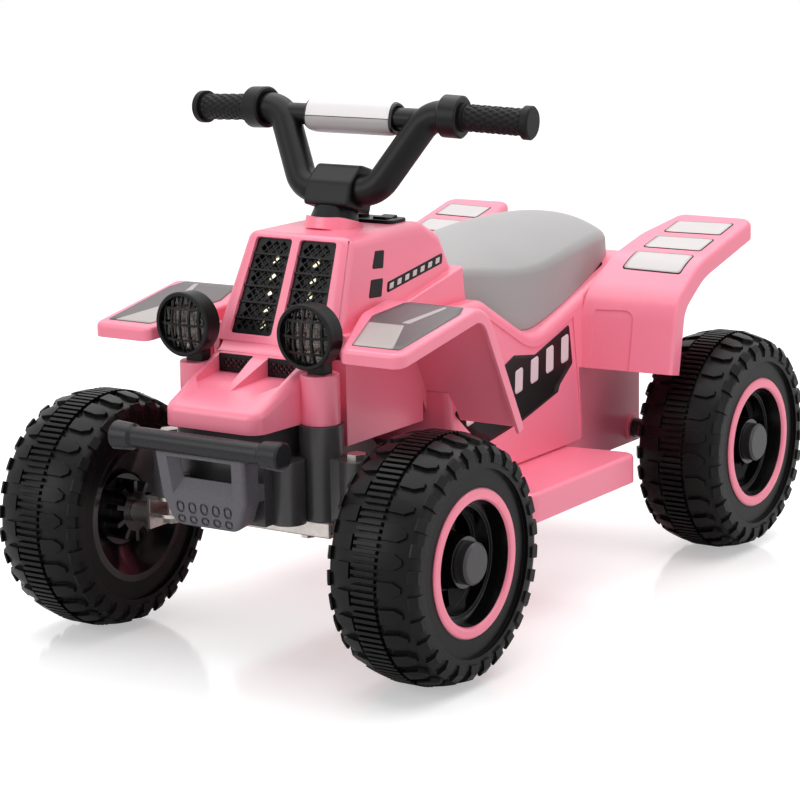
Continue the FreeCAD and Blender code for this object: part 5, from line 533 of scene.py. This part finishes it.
def knobbed_grip(sign):
    """Grip turned about its axis: radius is a flanged profile, plus rows of small pyramids.

    A pyramid's height falls off evenly along the axis and round it, so its foot is a diamond."""
    start = np.array(steer_point(sign * GRIP_START[0], *GRIP_START[1:]))
    end = np.array(steer_point(sign * GRIP_END[0], *GRIP_END[1:]))
    heading = end - start
    length = np.linalg.norm(heading)
    heading /= length
    side = np.cross(heading, (0, 0, 1))
    side /= np.linalg.norm(side)
    over = np.cross(side, heading)
    first, flange = length - GRIP_LENGTH, length - GRIP_FLANGE
    neck = first + GRIP_COLLAR
    body = np.linspace(neck, flange, GRIP_STEPS)
    along = np.concatenate([[first, first, neck], body, [flange, length - GRIP_LIP, length, length]])
    radius = np.concatenate([
        [0, GRIP_COLLAR_RADIUS, GRIP_COLLAR_RADIUS], np.full(body.shape, GRIP_RADIUS),
        [GRIP_FLANGE_RADIUS, GRIP_FLANGE_RADIUS, GRIP_LIP_RADIUS, 0]])
    turn = np.linspace(0, 2 * math.pi, KNOBS_ROUND * KNOB_STEPS, endpoint=False)
    row = (along[:, None] - first) / KNOB_PITCH
    column = turn[None, :] * KNOBS_ROUND / (2 * math.pi) + np.floor(row) / 2
    fall = 2 * np.abs(row % 1 - 0.5) + 2 * np.abs(column % 1 - 0.5)
    knob = np.clip(KNOB_REACH - fall, 0, KNOB_SLOPE) / KNOB_SLOPE * KNOB_HEIGHT
    on_body = ((along > neck + KNOB_MARGIN) & (along < flange - KNOB_MARGIN))[:, None]
    radius = radius[:, None] + knob * on_body
    points = start + along[:, None, None] * heading
    points = points + radius[:, :, None] * np.cos(turn)[None, :, None] * side
    points = points + radius[:, :, None] * np.sin(turn)[None, :, None] * over
    name = "left_grip" if sign > 0 else "right_grip"
    piece = make_piece(name + "_sleeve", [points], MATERIALS["grip_rubber"], "steering")
    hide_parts(name)


# Crossbar pad


def bar_pad():
    """Pad sleeve: a superellipse, near a round, carried along the crossbar and drawn in at its ends."""
    turn = np.linspace(0, 2 * math.pi, PAD_STEPS_ROUND, endpoint=False)
    across = np.sign(np.cos(turn)) * np.abs(np.cos(turn)) ** PAD_SQUARE * PAD_DEPTH / 2
    high = np.sign(np.sin(turn)) * np.abs(np.sin(turn)) ** PAD_SQUARE * PAD_HEIGHT / 2
    run = np.linspace(-1, 1, PAD_STEPS)
    drawn = 1 - PAD_DRAWN * np.abs(run) ** PAD_DRAWN_POWER
    ends = np.array([PAD_BORE / PAD_DEPTH * 2])
    scale = np.concatenate([ends, drawn, ends])[:, None]
    x = np.concatenate([[-1], run, [1]])[:, None] * PAD_HALF
    middle = np.array(steer_point(0, PAD_HIGH, PAD_BACK))
    points = middle + x[:, :, None] * np.array([1.0, 0, 0])
    points = points + (across[None] * scale)[:, :, None] * np.array(AXIS_BACK)
    points = points + (high[None] * scale)[:, :, None] * np.array(AXIS_UP)
    pad = make_piece("bar_pad_cover", [points], MATERIALS["silver_pad"], "steering")
    layer = pad.data.uv_layers.new(name="wrap")
    corner = np.empty(len(pad.data.loops), np.int32)
    pad.data.loops.foreach_get("vertex_index", corner)
    place = np.empty(len(pad.data.vertices) * 3, np.float32)
    pad.data.vertices.foreach_get("co", place)
    place = place.reshape(-1, 3) - middle
    lift = place @ np.array(AXIS_UP) / PAD_HEIGHT
    wrap = np.stack([place[:, 0] / (2 * PAD_HALF), lift], axis=1)[corner]
    layer.uv.foreach_set("vector", wrap.astype(np.float32).ravel())
    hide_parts("crossbar_pad")


# Sill below the grilles


def cowl_sill():
    """Sill that runs from the grille face into the nose: a bent curve in side view, carried across.

    The curve is a parabola between two points, drawn to a third. Both ends shrink to a point."""
    top, pull, foot = (np.array(point) * MM for point in SILL_CURVE)
    t = np.linspace(0, 1, SILL_STEPS)[:, None]
    face = top * (1 - t) ** 2 + pull * 2 * t * (1 - t) + foot * t ** 2
    profile = np.vstack([face, np.array(SILL_BACK) * MM])
    run = np.linspace(-SILL_HALF, SILL_HALF, SILL_COLUMNS)
    x = np.concatenate([[-SILL_HALF], run, [SILL_HALF]])
    rows = np.repeat(profile[None], len(x), axis=0)
    rows[[0, -1]] = profile.mean(0)
    points = np.concatenate([np.broadcast_to(x[:, None, None], rows.shape[:2] + (1,)), rows], axis=2)
    make_piece("cowl_sill", [points], MATERIALS["pink_shell"], "chassis")


# Stickers


def sticker(name, outlines, axis, height, film, node, radius=1.5 * MM, lift=STICKER_LIFT):
    """Flat shapes cut from film, dropped along an axis on to a moulding, one sheet of quads for each.

    axis is 2 for shapes in plan that drop down, and 0 for shapes in side view pressed on from the side."""
    grids = []
    for corners in outlines:
        flat = filled_outline(rounded_outline(np.array(corners) * MM, radius))
        level = np.full(flat.shape[:2] + (1,), height * MM)
        grids.append(np.concatenate([flat, level] if axis == 2 else [level, flat], axis=2))
    piece = make_piece(name, grids, film, "chassis")
    press = piece.modifiers.new("pressed_on", "SHRINKWRAP")
    press.target = NODES[node]
    press.wrap_method = "PROJECT"
    press.use_project_x = axis != 2
    press.use_project_z = axis == 2
    press.use_negative_direction = True
    press.use_positive_direction = True
    press.offset = lift
    film_edge = piece.modifiers.new("film_thickness", "SOLIDIFY")
    film_edge.thickness = STICKER_THICK
    film_edge.offset = 1.0


def mirrored(outlines):
    """The same shapes on the other side of the bike."""
    return [[(-x, y) for x, y in corners[::-1]] for corners in outlines]


def grown(corners, border):
    """A convex shape with each side moved outwards by a border."""
    corners = np.array(corners, float)
    ahead = np.roll(corners, -1, axis=0) - corners
    ahead /= np.linalg.norm(ahead, axis=1, keepdims=True)
    outward = np.stack([ahead[:, 1], -ahead[:, 0]], axis=1)
    turn = np.cross(ahead, np.roll(ahead, -1, axis=0)).sum()
    outward *= np.sign(turn)
    before = np.roll(outward, 1, axis=0)
    reach = border / (1 + (outward * before).sum(1))
    return corners + (outward + before) * reach[:, None]


def slanted_bars(start, pitch, count, width, length, slant):
    """Row of parallelograms along the second direction, each leaning by the slant."""
    bars = []
    for i in range(count):
        x, y = start[0], start[1] + i * pitch
        bars.append([(x, y), (x + width, y + slant), (x + width, y + slant + length), (x, y + length)])
    return bars


def stems(low, high, count, width, lean):
    """Leaning bars between two sloping lines, each line given by its two ends in side view."""
    bars = []
    for share in np.linspace(0, 1, count):
        foot = np.array(low[0]) * (1 - share) + np.array(low[1]) * share
        top = np.array(high[0]) * (1 - share) + np.array(high[1]) * share
        rise = (low[1][1] - low[0][1]) / (low[1][0] - low[0][0]) * width
        fall = (high[1][1] - high[0][1]) / (high[1][0] - high[0][0]) * width
        bars.append([
            (foot[0], foot[1]), (foot[0] + width, foot[1] + rise),
            (top[0] + lean + width, top[1] + fall), (top[0] + lean, top[1])])
    return bars


def mudguard_stickers():
    """Grey panels with silver bands on the front guards, and outlined white bars on the rear guards."""
    panel = [(100, -254), (145, -254), (146.5, -170), (140, -154), (86, -150), (76, -190)]
    bands = [
        [(100.5, -253), (138, -253), (116, -204), (82, -204)],
        [(110, -200), (118, -200), (128, -160), (124, -158)],
    ]
    bars = slanted_bars(start=(103, 170), pitch=39, count=3, width=52, length=27, slant=10)
    outer = [grown(bar, BAR_BORDER) for bar in bars]
    for side, turn in (("left", list), ("right", mirrored)):
        front = {"axis": 2, "height": FRONT_GUARD_LEVEL, "node": "front_cowl"}
        rear = {"axis": 2, "height": REAR_GUARD_LEVEL, "node": "body_shell"}
        sticker(side + "_guard_panel", turn([panel]), film=GREY_FILM, radius=3 * MM, **front)
        sticker(side + "_guard_bands", turn(bands), film=SILVER_FILM, lift=STICKER_ABOVE, **front)
        sticker(side + "_rear_outlines", turn(outer), film=BLACK_FILM, radius=3 * MM, **rear)
        sticker(side + "_rear_bars", turn(bars), film=WHITE_FILM, radius=2.5 * MM, lift=STICKER_ABOVE, **rear)


def side_stickers():
    """Black vents and a barred strip on the tank's sides.

    Below the seat there is a black panel with pale stems."""
    vents = [
        [(-152, 320.6), (-139.2, 319.7), (-143.8, 305.6), (-159.3, 307)],
        [(-162.6, 298.6), (-145.5, 297.7), (-151, 283.5), (-169, 284.5)],
    ]
    strip = [(-143, 285), (-58, 297.5), (-55, 306), (-140, 293.5)]
    marks = stems(
        low=((-139, 287.4), (-68, 297.9)), high=((-139, 292), (-68, 302.4)), count=7, width=6, lean=2)
    panel = [
        (-93, 178), (-45, 192), (8, 210), (42, 205), (103, 222), (104, 187),
        (80, 172), (76, 166), (14, 152), (-45, 144), (-66, 154)]
    bars = stems(
        low=((-76, 163), (84, 189)), high=((-76, 180), (84, 212)), count=7, width=13, lean=4)
    for side, sign in (("left", 1), ("right", -1)):
        tank = {"axis": 0, "height": sign * TANK_LEVEL, "node": "front_cowl"}
        body = {"axis": 0, "height": sign * PANEL_LEVEL, "node": "body_shell"}
        sticker(side + "_tank_vents", vents, film=BLACK_FILM, radius=1.2 * MM, **tank)
        sticker(side + "_tank_strip", [strip], film=BLACK_FILM, **tank)
        sticker(side + "_tank_marks", marks, film=WHITE_FILM, radius=0.4 * MM, lift=STICKER_ABOVE, **tank)
        sticker(side + "_side_panel", [panel], film=BLACK_FILM, radius=2.5 * MM, **body)
        sticker(side + "_side_stems", bars, film=PALE_FILM, radius=2.5 * MM, lift=STICKER_ABOVE, **body)


# Room and light


def studio():
    """Pale floor, white surroundings and soft lamps."""
    floor = bpy.data.objects.new("floor", bpy.data.meshes.new("floor"))
    corners = [(x * FLOOR_HALF, y * FLOOR_HALF, 0) for x, y in ((-1, -1), (1, -1), (1, 1), (-1, 1))]
    floor.data.from_pydata(corners, [], [(0, 1, 2, 3)])
    bpy.context.scene.collection.objects.link(floor)
    # Pale studio floor: an even satin white with a soft mirror image.
    material, tree, shader, _ = new_material("white_studio_floor")
    seen = add(tree, "LightPath").outputs["Is Camera Ray"]
    feed(tree, shader, {
        "Base Color": linear("#F4F4F4"),
        "Roughness": 0.12,
        "Emission Color": linear("#FFFFFF"),
        "Emission Strength": maths(tree, "MULTIPLY", seen, FLOOR_LIFT),
    })
    floor.data.materials.append(material)

    world = bpy.data.worlds.new("white_room")
    bpy.context.scene.world = world
    world.use_nodes = True
    tree = world.node_tree
    tree.nodes.clear()
    rays = add(tree, "LightPath").outputs
    direct = maths(tree, "MAXIMUM", rays["Is Camera Ray"], rays["Is Glossy Ray"])
    direct = maths(tree, "MAXIMUM", direct, rays["Is Transmission Ray"])
    soft = add(tree, "Background", {"Color": linear("#FFFFFF"), "Strength": ROOM_SOFT})
    white = add(tree, "Background", {"Color": linear("#FFFFFF"), "Strength": 1.0})
    mix = add(tree, "MixShader", {0: direct, 1: soft.outputs["Background"], 2: white.outputs["Background"]})
    add(tree, "OutputWorld", {"Surface": mix.outputs["Shader"]})

    for name, place, size, power in LAMPS:
        light = bpy.data.lights.new(name, "AREA")
        light.shape = "SQUARE"
        light.size = size
        light.energy = power
        lamp = bpy.data.objects.new(name, light)
        lamp.location = place
        aim = LAMP_AIM - Vector(place)
        lamp.rotation_euler = aim.to_track_quat("-Z", "Y").to_euler()
        bpy.context.scene.collection.objects.link(lamp)


def camera():
    """Camera at the photograph's place, looking down and to the left, rolled a little."""
    a, e, r = CAMERA_AZIMUTH, CAMERA_ELEVATION, CAMERA_ROLL
    back = Vector((math.sin(a) * math.cos(e), -math.cos(a) * math.cos(e), math.sin(e)))
    right = Vector((math.cos(a), math.sin(a), 0))
    up = back.cross(right)
    right, up = right * math.cos(r) + up * math.sin(r), up * math.cos(r) - right * math.sin(r)
    lens = bpy.data.cameras.new("camera")
    lens.lens = CAMERA_LENS
    lens.sensor_width = CAMERA_SENSOR
    view = bpy.data.objects.new("camera", lens)
    turn = Matrix((right, up, back)).transposed().to_4x4()
    view.matrix_world = Matrix.Translation(CAMERA_PLACE) @ turn
    bpy.context.scene.collection.objects.link(view)
    bpy.context.scene.camera = view


dress_nodes()
knobbed_grip(1)
knobbed_grip(-1)
bar_pad()
cowl_sill()
mudguard_stickers()
side_stickers()
studio()
camera()
bpy.context.scene.view_settings.view_transform = "Standard"
